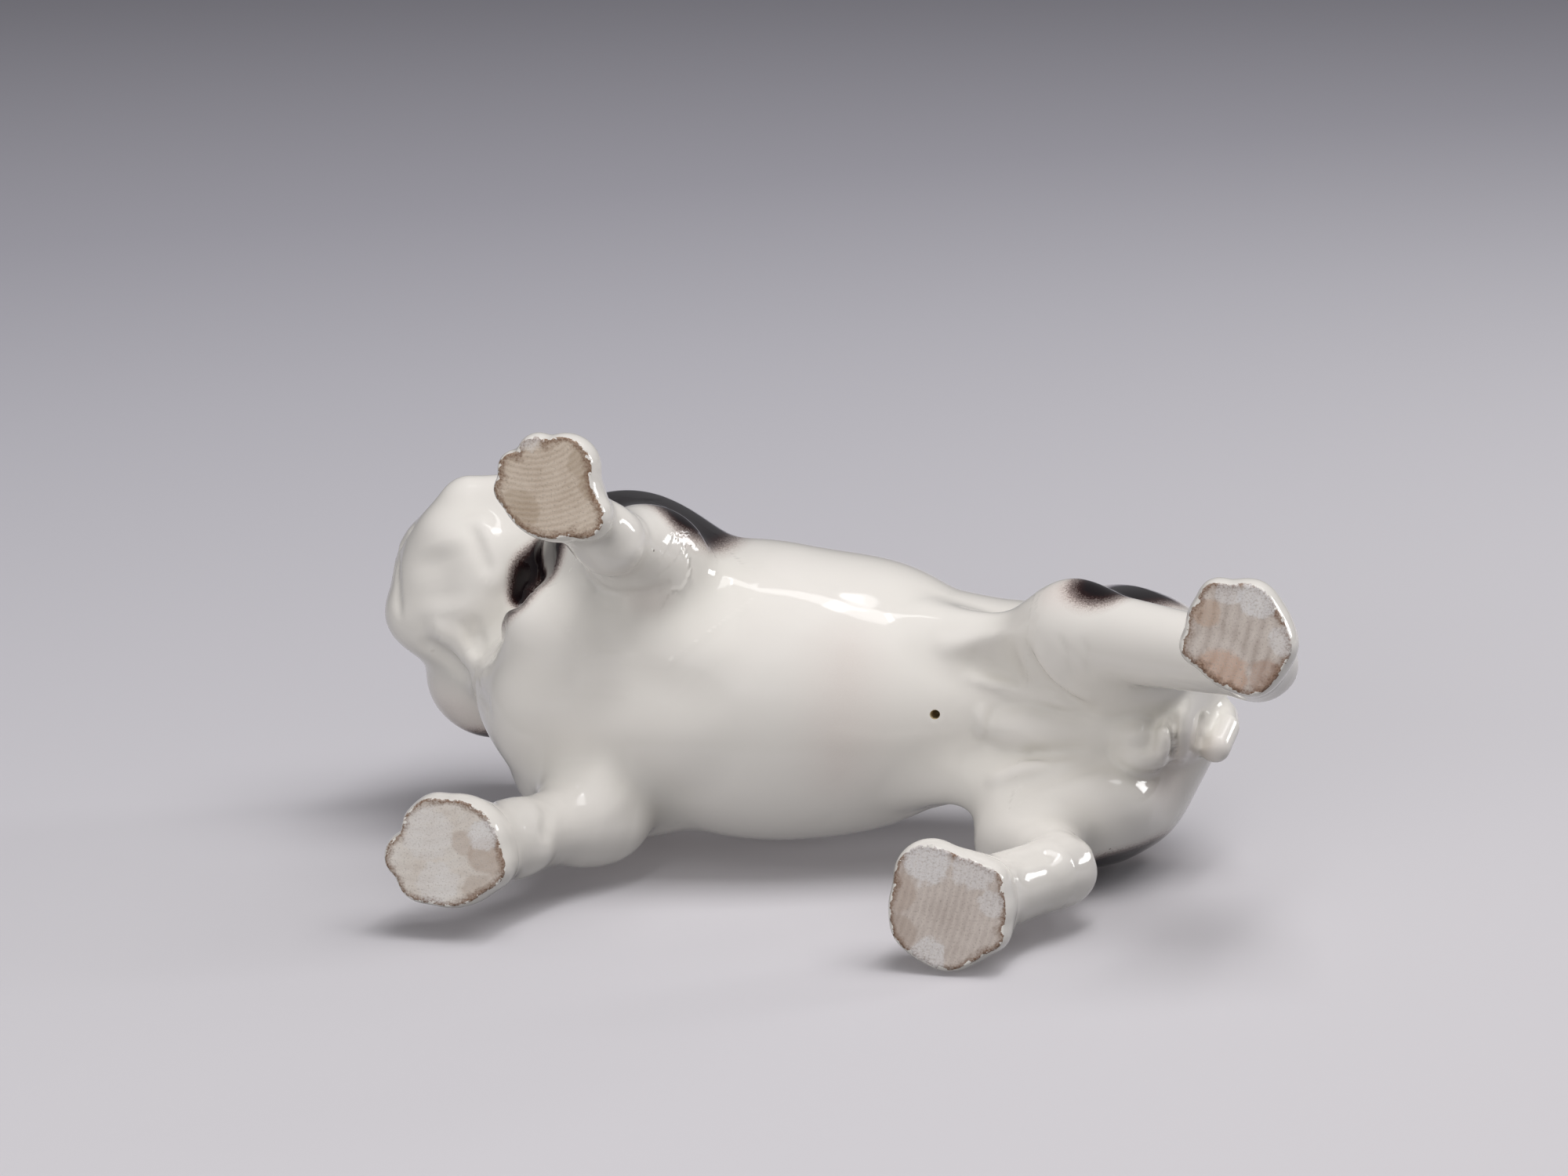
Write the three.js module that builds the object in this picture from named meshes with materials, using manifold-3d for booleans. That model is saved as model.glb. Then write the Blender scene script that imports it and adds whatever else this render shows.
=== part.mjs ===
// A standing bulldog in glazed earthenware, slip-cast in nine pieces that the potter lutes together:
// a hollow trunk, a hollow head, two ears, four legs and a tail.
// Millimetres, +Z up. The dog stands on its soles at Z = 0 and faces -X, so its left side is at -Y.
//
// Every casting is modelled as clay is: rounded lumps pressed into each other. A lump is a field, a
// function of a point that is negative inside and grows with the distance outside. Fields blend
// smoothly, and one skin is laid over their sum and cut into the castings along the creases between them.

import * as THREE from 'three';
import { mergeVertices } from 'three/addons/utils/BufferGeometryUtils.js';
import Module from 'manifold-3d';

const wasm = await Module();
wasm.setup();

// Trunk
const WITHERS_Z = 111;
const BRISKET_Z = 39;
const BELLY_Z = 57;
const LOIN_Z = 115;
const CROUP_Z = 110;
const RIB_WIDTH = 67.5;
const WAIST_WIDTH = 45;
const CROUP_WIDTH = 47;
const SHOULDER_WIDTH = 77;
const CHEST_WIDTH = 57;
const CHEST_FRONT_X = -79;
const RIB_CENTRE_X = -20;
const RIB_LENGTH = 100;
const LOIN_CENTRE_X = 28;
const LOIN_LENGTH = 88;
const RUMP_X = 84;
const SHOULDER_X = -49;

// Neck and head, before the head is turned to the dog's left
const NECK_RADIUS = 23.5;
const HEAD_TURN = THREE.MathUtils.degToRad(21);
const HEAD_PIVOT_X = -60;
const HEAD_TOP_Z = 126;
const CHEEK_WIDTH = 60;
const MUZZLE_WIDTH = 34;
const MUZZLE_FRONT_X = -113;
const CHEEK_X = -86;
const CHEEK_Z = 92;
const CHIN_Z = 65.5;
const EYE_DIAMETER = 7.4;
const EYE_SPACING = 25;
const EYE_Z = 101.5;

// Ears and tail
const EAR_LENGTH = 20;
const EAR_THICKNESS = 6.5;
const EAR_SPACING = 49;
const TAIL_DIAMETER = 7.4;
const TAIL_ROOT_Z = 90;
const TAIL_TIP = [83.9, 2.5, 73.5];

// Legs
const FRONT_STANCE_WIDTH = 79;
const HIND_STANCE_WIDTH = 62.5;
const PAW_HEIGHT = 13;
const FOREARM_DIAMETER = 18;
const WRIST_DIAMETER = 15;
const ELBOW_Z = 46;
const HOCK_Z = 35;
const HOCK_DIAMETER = 14.5;
const THIGH_DIAMETER = 38;

// Casting and luting
const WALL = 4;
const SEAM_GAP = 0.3;
const VENT_DIAMETER = 1.8;
const VENT_X = 24.8;
const AIR_HOLE_DIAMETER = 6;

// The skin's grid, finer where the modelling is finer
const TRUNK_CELL = 6.6;
const HEAD_CELL = 3.7;
const FRONT_LEG_CELL = 4;
const HIND_LEG_CELL = 4.8;
const SMALL_CELL = 2.4;
const FACE_CELL = 2.2;
const LUMP_CELL = 2.9;
const CUTTER_CELL = 6.5;
const CAVITY_CELL = 10;

// Fields. Each keeps the box that its surface lies in.

function boxed(field, box) {
  field.box = box;
  return field;
}

function unionOf(boxes) {
  return boxes.reduce((all, box) => all.union(box), new THREE.Box3());
}

function egg([cx, cy, cz], [rx, ry, rz], turn = [0, 0, 0]) {
  const euler = new THREE.Euler(...turn.map(THREE.MathUtils.degToRad));
  const turning = new THREE.Matrix4().makeRotationFromEuler(euler);
  const [a, b, c, , d, e, f, , g, h, i] = turning.elements;
  const box = new THREE.Box3(new THREE.Vector3(-rx, -ry, -rz), new THREE.Vector3(rx, ry, rz));
  box.applyMatrix4(turning).translate(new THREE.Vector3(cx, cy, cz));
  return boxed((x, y, z) => {
    const px = x - cx;
    const py = y - cy;
    const pz = z - cz;
    const qx = (a * px + b * py + c * pz) / rx;
    const qy = (d * px + e * py + f * pz) / ry;
    const qz = (g * px + h * py + i * pz) / rz;
    const near = Math.sqrt(qx * qx + qy * qy + qz * qz);
    const slope = Math.sqrt((qx / rx) ** 2 + (qy / ry) ** 2 + (qz / rz) ** 2);
    return slope < 1e-9 ? -Math.min(rx, ry, rz) : (near * (near - 1)) / slope;
  }, box);
}

// A tapering roll of clay through two or more points, each [x, y, z, radius].
function roll(...points) {
  const spans = points.slice(1).map(([bx, by, bz, br], i) => {
    const [ax, ay, az, ar] = points[i];
    const [dx, dy, dz] = [bx - ax, by - ay, bz - az];
    return { ax, ay, az, ar, dx, dy, dz, dr: br - ar, squared: dx * dx + dy * dy + dz * dz };
  });
  const balls = points.map(([x, y, z, r]) => {
    const centre = new THREE.Vector3(x, y, z);
    return new THREE.Box3().setFromCenterAndSize(centre, new THREE.Vector3(2 * r, 2 * r, 2 * r));
  });
  return boxed((x, y, z) => {
    let best = Infinity;
    for (const { ax, ay, az, ar, dx, dy, dz, dr, squared } of spans) {
      const px = x - ax;
      const py = y - ay;
      const pz = z - az;
      const t = Math.min(1, Math.max(0, (px * dx + py * dy + pz * dz) / squared));
      const away = (px - t * dx) ** 2 + (py - t * dy) ** 2 + (pz - t * dz) ** 2;
      best = Math.min(best, Math.sqrt(away) - ar - t * dr);
    }
    return best;
  }, unionOf(balls));
}

function smoothMin(a, b, k) {
  if (k <= 0) return Math.min(a, b);
  const h = Math.max(k - Math.abs(a - b), 0) / k;
  return Math.min(a, b) - (h * h * k) / 4;
}

// Presses lumps together, each given as [field, blend radius].
function press(...lumps) {
  return boxed((x, y, z) => {
    let sum = Infinity;
    for (const [field, k] of lumps) sum = smoothMin(sum, field(x, y, z), k);
    return sum;
  }, unionOf(lumps.map(([field]) => field.box)));
}

// Takes grooves out of a field, each given as [field, blend radius].
function groove(field, ...cuts) {
  return boxed((x, y, z) => {
    let sum = field(x, y, z);
    for (const [cut, k] of cuts) sum = -smoothMin(-sum, cut(x, y, z), k);
    return sum;
  }, field.box);
}

// The same lump on both sides of the dog.
function pair(make) {
  return [make(-1), make(1)];
}

// Trunk, with the shoulders, neck, belly folds and sheath that are cast with it

const ribs = egg(
  [RIB_CENTRE_X, 1.2, (WITHERS_Z + BRISKET_Z) / 2],
  [RIB_LENGTH / 2, RIB_WIDTH / 2, (WITHERS_Z - BRISKET_Z) / 2],
);
const brisket = egg([CHEST_FRONT_X + 27, 6.5, BRISKET_Z + 25], [26, CHEST_WIDTH / 2 - 1.5, 26]);
const loin = egg(
  [LOIN_CENTRE_X, -1.5, (LOIN_Z + BELLY_Z) / 2],
  [LOIN_LENGTH / 2, WAIST_WIDTH / 2, (LOIN_Z - BELLY_Z) / 2],
);
const croup = egg([RUMP_X - 26.5, -0.5, CROUP_Z - 24], [26, CROUP_WIDTH / 2, 24]);
const neck = roll(
  [SHOULDER_X + 4, 0, WITHERS_Z - 24, NECK_RADIUS + 1],
  [HEAD_PIVOT_X - 13, -3, WITHERS_Z - 17, NECK_RADIUS - 1],
);
const throat = roll([HEAD_PIVOT_X - 24, 3, CHIN_Z + 12.5, 6], [HEAD_PIVOT_X - 12, 7, CHIN_Z - 3.5, 9]);
const shoulders = pair((side) => [
  egg([SHOULDER_X - 4.5, side * (SHOULDER_WIDTH / 2 - 13.8), WITHERS_Z - 30], [20.5, 14.2, 29], [0, -12, 0]),
  9,
]);
const flankFolds = pair((side) => [
  roll([20, side * 14.5 - 0.8, BELLY_Z + 8, 5], [42, side * 17 - 1.5, BELLY_Z + 4, 5]),
  8,
]);
const lastRibs = pair((side) => [
  egg([RIB_CENTRE_X + 21, side * (RIB_WIDTH / 2 - 13.2), WITHERS_Z - 29], [17, 9.5, 23], [0, 14, 0]),
  5,
]);
const breast = pair((side) => [
  roll([SHOULDER_X - 15, side * 9, BRISKET_Z + 12, 9], [SHOULDER_X + 19, side * 8, BRISKET_Z + 9, 8]),
  9,
]);
const trunk = press(
  [ribs, 0],
  [brisket, 9],
  [loin, 14],
  [croup, 11],
  [neck, 12],
  [throat, 8],
  ...shoulders,
  ...flankFolds,
  ...lastRibs,
  ...breast,
);
const sheath = press(
  [egg([VENT_X + 20.7, 1.4, BELLY_Z + 1.9], [9.4, 5, 4.4], [0, 0, -3]), 0],
  [roll([VENT_X + 21.2, 1.3, BELLY_Z + 2, 4], [VENT_X + 36.2, 0.4, BELLY_Z + 3.2, 3.2]), 3],
);
const scrotum = press(
  [egg([RUMP_X - 16.5, 0.6, BELLY_Z + 4.8], [5, 3.8, 6]), 0],
  [egg([RUMP_X - 15.2, 5, BELLY_Z + 4.3], [5.3, 3.3, 6]), 1.5],
  [egg([RUMP_X - 10, 1.4, BELLY_Z + 6], [1.7, 5, 6]), 1.5],
);
const perineum = egg([RUMP_X - 6.7, -2, BELLY_Z + 14], [3, 8, 11]);

// Head, modelled straight ahead and then turned about the neck

const cheeks = pair((side) => [
  egg([CHEEK_X + 2.5, side * (CHEEK_WIDTH / 2 - 12), CHEEK_Z], [15, 13, 16]),
  7,
]);
const cheekFold = roll(
  [CHEEK_X - 17.5, -18, CHEEK_Z - 8, 7],
  [CHEEK_X - 7, 7.5 - CHEEK_WIDTH / 2, CHEEK_Z - 5, 7.5],
  [CHEEK_X + 3, 7 - CHEEK_WIDTH / 2, CHEEK_Z - 3, 7],
);
const muzzle = egg([MUZZLE_FRONT_X + 11.3, -2.2, CHEEK_Z - 3], [14.3, MUZZLE_WIDTH / 2 - 3.5, 12]);
const flews = pair((side) => [
  egg(
    [MUZZLE_FRONT_X + 14, side * (MUZZLE_WIDTH / 2 - 8), CHIN_Z + 17],
    [12, 8.6, 13],
    [side * 12, 0, 0],
  ),
  7,
]);
const chin = egg([CHEEK_X - 10, -1, CHIN_Z + 14], [14, 13, 11.5]);
const jaw = egg([CHEEK_X - 4, -2, CHIN_Z + 14.5], [12.5, 17, 13]);
const brows = pair((side) => [
  egg([CHEEK_X - 8.5, side * (EYE_SPACING / 2 - 1), EYE_Z + 8], [7.5, 8.5, 5.5], [side * -12, 0, 0]),
  4,
]);
const straightHead = groove(
  press(
    [egg([CHEEK_X + 4, 0, HEAD_TOP_Z - 20], [18, EAR_SPACING / 2, 20]), 0],
    ...cheeks,
    [cheekFold, 9],
    [muzzle, 6],
    ...flews,
    [chin, 6],
    [jaw, 8],
    ...brows,
  ),
  [
    roll(
      [CHEEK_X - 17, 0, EYE_Z + 8.5, 2.5],
      [CHEEK_X - 6, 0, HEAD_TOP_Z + 2.5, 3.5],
      [CHEEK_X + 12, 0, HEAD_TOP_Z + 5, 3.5],
    ),
    5,
  ],
);
const nose = egg([MUZZLE_FRONT_X + 5.6, 0, EYE_Z - 5.5], [5.2, 7.6, 5.4], [0, -15, 0]);
const noseRoll = roll(
  [MUZZLE_FRONT_X + 13, -13, EYE_Z - 7, 2.8],
  [MUZZLE_FRONT_X + 11, -7, EYE_Z, 3.8],
  [MUZZLE_FRONT_X + 11, 7, EYE_Z, 3.8],
  [MUZZLE_FRONT_X + 13, 13, EYE_Z - 7, 2.8],
);
const eyes = pair((side) => {
  const centre = [CHEEK_X - 12.6, (side * EYE_SPACING) / 2, EYE_Z];
  return egg(centre, [EYE_DIAMETER / 2, EYE_DIAMETER / 2, EYE_DIAMETER / 2]);
});

// A field made straight ahead, seen after the head's turn.
const headTurn = new THREE.Matrix4()
  .makeTranslation(HEAD_PIVOT_X, 0, 0)
  .multiply(new THREE.Matrix4().makeRotationZ(HEAD_TURN))
  .multiply(new THREE.Matrix4().makeTranslation(-HEAD_PIVOT_X, 0, 0));
const turnCos = Math.cos(HEAD_TURN);
const turnSin = Math.sin(HEAD_TURN);

function turned(field) {
  return boxed((x, y, z) => {
    const px = x - HEAD_PIVOT_X;
    return field(HEAD_PIVOT_X + turnCos * px + turnSin * y, turnCos * y - turnSin * px, z);
  }, field.box.clone().applyMatrix4(headTurn));
}

function ear(side) {
  return turned(
    egg(
      [CHEEK_X + 10, (side * EAR_SPACING) / 2, HEAD_TOP_Z - 8],
      [EAR_LENGTH / 2, EAR_THICKNESS / 2, EAR_LENGTH / 2 - 2],
      [side * -38, -25, side * 24],
    ),
  );
}

// Tail

const tail = roll(
  [RUMP_X - 7, -1.5, TAIL_ROOT_Z, TAIL_DIAMETER / 2 + 1],
  [RUMP_X - 0.6, -2.7, TAIL_ROOT_Z - 5, TAIL_DIAMETER / 2 + 0.1],
  [RUMP_X + 1, -1.5, TAIL_ROOT_Z - 11, TAIL_DIAMETER / 2 - 0.5],
  [...TAIL_TIP, TAIL_DIAMETER / 2 - 0.3],
);

// Legs

// A paw, upright on the ground: the outline of its pad and toes, bulging a little above the sole and
// rounded at its top. The pad is [half width, half length, turn], and each toe is [x, y, radius] from the
// paw's place.
const SOLE_BULGE = 0.9;
const PAW_ROUNDING = 7;

function pawClay({ place: [cx, cy], pad: [rx, ry, turn], toes }) {
  const cos = Math.cos(THREE.MathUtils.degToRad(turn));
  const sin = Math.sin(THREE.MathUtils.degToRad(turn));
  const top = PAW_HEIGHT + 1 - PAW_ROUNDING;
  const reach = new THREE.Vector3(2 * rx + 10, 2 * ry + 10, PAW_HEIGHT + 5);
  const centre = new THREE.Vector3(cx, cy, (PAW_HEIGHT - 3) / 2);
  return boxed((px, py, z) => {
    const x = px - cx;
    const y = py - cy;
    const u = (cos * x + sin * y) / rx;
    const v = (cos * y - sin * x) / ry;
    const near = Math.sqrt(u * u + v * v);
    let edge = (near * (near - 1)) / Math.max(Math.sqrt((u / rx) ** 2 + (v / ry) ** 2), 1e-6);
    for (const [tx, ty, radius] of toes) edge = smoothMin(edge, Math.hypot(x - tx, y - ty) - radius, 1.2);
    edge += PAW_ROUNDING - SOLE_BULGE * Math.max(1 - ((z - 4) / 4) ** 2, 0);
    const up = z - top;
    const round = Math.hypot(Math.max(edge, 0), Math.max(up, 0));
    return 0.9 * (round - PAW_ROUNDING + Math.min(Math.max(edge, up), 0));
  }, new THREE.Box3().setFromCenterAndSize(centre, reach));
}

// The dog is caught in mid-stride, so each paw has its own place and shape.
const paws = {
  left_front_leg: {
    place: [SHOULDER_X - 2, -FRONT_STANCE_WIDTH / 2 - 3.5],
    pad: [10.5, 9, 20],
    toes: [[-8.5, 0, 3], [-8, -4.5, 3], [-3.5, -8, 3.5], [2.5, -5.5, 6.5], [8, 4, 4.5]],
  },
  right_front_leg: {
    place: [SHOULDER_X - 17, FRONT_STANCE_WIDTH / 2 - 5],
    pad: [11, 11.5, 40],
    toes: [[-9.5, 2, 4.5], [-6.5, -5, 4], [-5.5, 5.5, 5.5], [-4.5, -7, 4], [8, 2, 4.5]],
  },
  left_hind_leg: {
    place: [RUMP_X + 10.5, 2.75 - HIND_STANCE_WIDTH / 2],
    pad: [9.5, 11, -40],
    toes: [[-7.5, 2.5, 3.5], [-5, -7.5, 3], [1.5, -6, 5], [7.5, 1, 3.5], [3.5, 7, 4]],
  },
  right_hind_leg: {
    place: [RUMP_X - 43, 2.25 + HIND_STANCE_WIDTH / 2],
    pad: [12, 11.5, -15],
    toes: [[-4.5, -6, 7], [7, -6, 4], [-6.5, 4, 4.5], [0.5, 6.5, 5.5], [9, 4, 3]],
  },
};

// A front leg from its shoulder to its ankle. The point of its elbow stands out behind, and its wrist has
// a small knob. A slim leg's wrist is that much less in radius.
function frontLeg(side, shoulder, elbow, wrist, ankle, slim) {
  const wristRadius = WRIST_DIAMETER / 2 - slim;
  const [x, y, z] = elbow;
  return press(
    [roll([...shoulder, 12], [...elbow, FOREARM_DIAMETER / 2]), 0],
    [roll([x + 6, y + side * 1.5, z + 1, 4.2], [x, y, z - 3, 7]), 4],
    [roll([...elbow, FOREARM_DIAMETER / 2], [...wrist, wristRadius]), 4],
    [roll([...wrist, wristRadius], [...ankle, PAW_HEIGHT / 2 + 1, wristRadius + 0.6]), 3],
    [egg([wrist[0] + wristRadius - 3, wrist[1] + 2, wrist[2] - 1], [3.6, 3, 3.4]), 2.5],
  );
}

// A hind leg from its hip to its ankle. The point of its hock stands out behind.
function hindLeg(side, hip, knee, hock, ankle) {
  const hockRadius = HOCK_DIAMETER / 2;
  return press(
    [egg([hip[0], hip[1], hip[2] - 6], [THIGH_DIAMETER / 2, 14, 27], [0, 8, 0]), 0],
    [roll([hip[0] - 2, hip[1], hip[2] - 12, 14], [...knee, 10]), 6],
    [egg([hip[0] - 1, hip[1] - side * 2.5, hip[2] - 22], [17, 10, 14.5]), 6],
    [roll([...knee, 10], [...hock, hockRadius]), 6],
    [roll([hock[0] + 3.5, hock[1], hock[2] + 1, 4.2], [hock[0], hock[1], hock[2] - 6, 6]), 2.5],
    [roll([...hock, hockRadius], [...ankle, PAW_HEIGHT / 2 + 1, hockRadius + 1]), 3],
  );
}

const [leftFront, rightFront, leftHind, rightHind] = Object.values(paws).map(({ place }) => place);
const shoulderZ = BRISKET_Z + 30;
const legs = {
  left_front_leg: frontLeg(
    -1,
    [SHOULDER_X - 2, leftFront[1] + 19, shoulderZ],
    [SHOULDER_X + 8, leftFront[1] + 14.5, ELBOW_Z],
    [SHOULDER_X + 5.5, leftFront[1] + 10, PAW_HEIGHT + 10],
    [leftFront[0] - 0.5, leftFront[1] + 0.5],
    1.1,
  ),
  right_front_leg: frontLeg(
    1,
    [SHOULDER_X - 7, rightFront[1] - 10.5, shoulderZ],
    [SHOULDER_X + 1, rightFront[1] - 4.5, ELBOW_Z],
    [SHOULDER_X - 9, rightFront[1] - 1.5, PAW_HEIGHT + 7],
    [rightFront[0] + 2, rightFront[1]],
    0,
  ),
  left_hind_leg: hindLeg(
    -1,
    [RUMP_X - 22, leftHind[1] + 13.5, CROUP_Z - 22],
    [RUMP_X - 31, leftHind[1] + 7.5, BELLY_Z],
    [RUMP_X + 11.5, leftHind[1] + 8, HOCK_Z - 1],
    [leftHind[0] + 1.5, leftHind[1] + 0.5],
  ),
  right_hind_leg: hindLeg(
    1,
    [RUMP_X - 27, rightHind[1] - 16, CROUP_Z - 25],
    [RUMP_X - 37, rightHind[1] - 8, BELLY_Z],
    [RUMP_X - 26.5, rightHind[1] - 5.5, HOCK_Z],
    [rightHind[0] + 2.5, rightHind[1] - 1],
  ),
};

// The castings. A casting's blend is how softly it meets the others, and its cell is the size of the
// skin's grid there. Its lumps are small forms with finer skins of their own.

const castings = {
  trunk: { field: trunk, blend: 0, cell: TRUNK_CELL, lumps: [sheath, scrotum, perineum] },
  head: {
    field: turned(straightHead),
    blend: 6,
    cell: HEAD_CELL,
    lumps: [nose, noseRoll, ...eyes].map(turned),
  },
  left_ear: { field: ear(-1), blend: 2.5, cell: SMALL_CELL, lumps: [] },
  right_ear: { field: ear(1), blend: 2.5, cell: SMALL_CELL, lumps: [] },
  tail: { field: tail, blend: 3, cell: SMALL_CELL, lumps: [] },
};
for (const [name, field] of Object.entries(legs)) {
  const cell = name.includes('front') ? FRONT_LEG_CELL : HIND_LEG_CELL;
  const blend = name === 'left_front_leg' ? 14 : 9;
  castings[name] = { field, blend, cell, lumps: [pawClay(paws[name])] };
}

// Well outside its box, a casting's field is taken as the distance to the box, which saves time and
// changes nothing near the clay.
const FAR = 14;
for (const casting of Object.values(castings)) {
  const { field } = casting;
  const { min, max } = field.box;
  casting.field = boxed((x, y, z) => {
    const dx = Math.max(min.x - x, x - max.x, 0);
    const dy = Math.max(min.y - y, y - max.y, 0);
    const dz = Math.max(min.z - z, z - max.z, 0);
    const away = dx + dy + dz;
    return away > FAR ? away : field(x, y, z);
  }, field.box);
}
const wholeDog = press(...Object.values(castings).map(({ field, blend }) => [field, blend]));

// A casting's share of the dog is where this is negative: the space nearer to it than to the others.
function share(name) {
  const own = castings[name].field;
  const others = Object.keys(castings)
    .filter((other) => other !== name)
    .map((other) => castings[other].field);
  return (x, y, z) => {
    let nearest = Infinity;
    for (const other of others) nearest = Math.min(nearest, other(x, y, z));
    return own(x, y, z) - nearest;
  };
}

// Skins

// The surface where a field is zero, as a closed BufferGeometry inside a box. A grid cell gets one vertex
// for each sheet of the surface that passes through it, and each grid edge that the surface crosses joins
// the four vertices round it. Each vertex is then drawn onto the surface.
function skin(field, box, cell) {
  const count = new THREE.Vector3().subVectors(box.max, box.min).divideScalar(cell).ceil().addScalar(3);
  const [nx, ny, nz] = count.toArray();
  const origin = box.min.clone().subScalar(cell);
  const steps = [1, nx, nx * ny];
  const values = new Float64Array(nx * ny * nz);
  for (let k = 0; k < nz; k += 1) {
    for (let j = 0; j < ny; j += 1) {
      for (let i = 0; i < nx; i += 1) {
        const rim = i === 0 || j === 0 || k === 0 || i === nx - 1 || j === ny - 1 || k === nz - 1;
        const value = field(origin.x + i * cell, origin.y + j * cell, origin.z + k * cell);
        values[i + j * steps[1] + k * steps[2]] = rim ? Math.max(value, cell / 2) : value;
      }
    }
  }
  const positions = [];
  const fans = new Map();
  for (let k = 0; k < nz - 1; k += 1) {
    for (let j = 0; j < ny - 1; j += 1) {
      for (let i = 0; i < nx - 1; i += 1) {
        const first = i + j * steps[1] + k * steps[2];
        for (const sheet of sheetsIn(values, first, steps)) {
          const middle = new THREE.Vector3();
          for (const { corner, axis } of sheet) {
            const a = values[first + offsetOf(corner, steps)];
            const b = values[first + offsetOf(corner | (1 << axis), steps)];
            const crossing = new THREE.Vector3(corner & 1, (corner >> 1) & 1, corner >> 2);
            crossing.setComponent(axis, a / (a - b));
            middle.addScaledVector(crossing, 1 / sheet.length);
            const key = 3 * (first + offsetOf(corner, steps)) + axis;
            if (!fans.has(key)) fans.set(key, { outward: a < 0, ring: [] });
            const u = (corner >> ((axis + 1) % 3)) & 1;
            const v = (corner >> ((axis + 2) % 3)) & 1;
            fans.get(key).ring[v ? 3 - u : u] = positions.length;
          }
          positions.push(middle.add(new THREE.Vector3(i, j, k)).multiplyScalar(cell).add(origin));
        }
      }
    }
  }
  const faces = [];
  for (const { outward, ring } of fans.values()) {
    const [a, b, c, d] = outward ? ring : [...ring].reverse();
    const split = positions[a].distanceTo(positions[c]) <= positions[b].distanceTo(positions[d]);
    faces.push(...(split ? [a, b, c, a, c, d] : [a, b, d, b, c, d]));
  }
  drawOnto(field, positions, cell);
  const geometry = new THREE.BufferGeometry().setFromPoints(positions);
  geometry.setIndex(faces);
  return geometry;
}

function offsetOf(corner, steps) {
  return (corner & 1) * steps[0] + ((corner >> 1) & 1) * steps[1] + (corner >> 2) * steps[2];
}

// The sheets of the surface in one cell, each a list of the cell edges that it crosses. A corner is a
// number whose bits are its places along x, y and z.
const CELL_FACES = [0, 1, 2].flatMap((axis) => {
  const u = 1 << ((axis + 1) % 3);
  const v = 1 << ((axis + 2) % 3);
  return [0, 1 << axis].map((base) => [base, base | u, base | u | v, base | v]);
});

function sheetsIn(values, first, steps) {
  const inside = [];
  for (let corner = 0; corner < 8; corner += 1) inside.push(values[first + offsetOf(corner, steps)] < 0);
  if (inside.every((one) => one === inside[0])) return [];
  const sheets = new Map();
  const edgeKey = (a, b) => Math.min(a, b) * 8 + Math.max(a, b);
  const link = (one, two) => {
    const from = sheets.get(one) ?? [one];
    const to = sheets.get(two) ?? [two];
    const both = from === to ? from : [...from, ...to];
    for (const key of both) sheets.set(key, both);
  };
  for (const ring of CELL_FACES) {
    const crossed = [0, 1, 2, 3].filter((n) => inside[ring[n]] !== inside[ring[(n + 1) % 4]]);
    const key = (n) => edgeKey(ring[n % 4], ring[(n + 1) % 4]);
    if (crossed.length === 2) link(key(crossed[0]), key(crossed[1]));
    if (crossed.length === 4) {
      for (let n = 0; n < 4; n += 1) if (inside[ring[n]]) link(key(n + 3), key(n));
    }
  }
  return [...new Set(sheets.values())].map((keys) =>
    keys.map((key) => ({ corner: key >> 3, axis: Math.log2((key & 7) ^ (key >> 3)) })),
  );
}

// Moves points onto a field's surface, at most a part of a cell.
function drawOnto(field, points, cell) {
  const h = cell / 20;
  for (const p of points) {
    for (let pass = 0; pass < 2; pass += 1) {
      const value = field(p.x, p.y, p.z);
      const slope = new THREE.Vector3(
        field(p.x + h, p.y, p.z) - field(p.x - h, p.y, p.z),
        field(p.x, p.y + h, p.z) - field(p.x, p.y - h, p.z),
        field(p.x, p.y, p.z + h) - field(p.x, p.y, p.z - h),
      ).divideScalar(2 * h);
      const steep = Math.max(slope.lengthSq(), 0.2);
      p.addScaledVector(slope, THREE.MathUtils.clamp(-value / steep, -cell / 4, cell / 4));
    }
  }
}

// Solids, for cutting and joining

function solidOf(geometry) {
  let merged = geometry;
  if (geometry.attributes.uv) {
    merged = geometry.clone();
    merged.deleteAttribute('normal');
    merged.deleteAttribute('uv');
    merged = mergeVertices(merged, 1e-4);
  }
  return new wasm.Manifold(
    new wasm.Mesh({
      numProp: 3,
      vertProperties: new Float32Array(merged.attributes.position.array),
      triVerts: new Uint32Array(merged.index.array),
    }),
  );
}

function geometryOf(solid) {
  const mesh = solid.getMesh();
  const geometry = new THREE.BufferGeometry();
  geometry.setAttribute('position', new THREE.BufferAttribute(mesh.vertProperties, 3));
  geometry.setIndex(new THREE.BufferAttribute(mesh.triVerts, 1));
  geometry.computeVertexNormals();
  return geometry;
}

// The largest body of a solid, without the crumbs that a cut can leave.
function largest(solid) {
  return solid.decompose().sort((a, b) => b.volume() - a.volume())[0];
}

const ground = solidOf(new THREE.BoxGeometry(400, 300, 40).translate(0, 0, -20));
const PAST_SEAM = 3;

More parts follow.
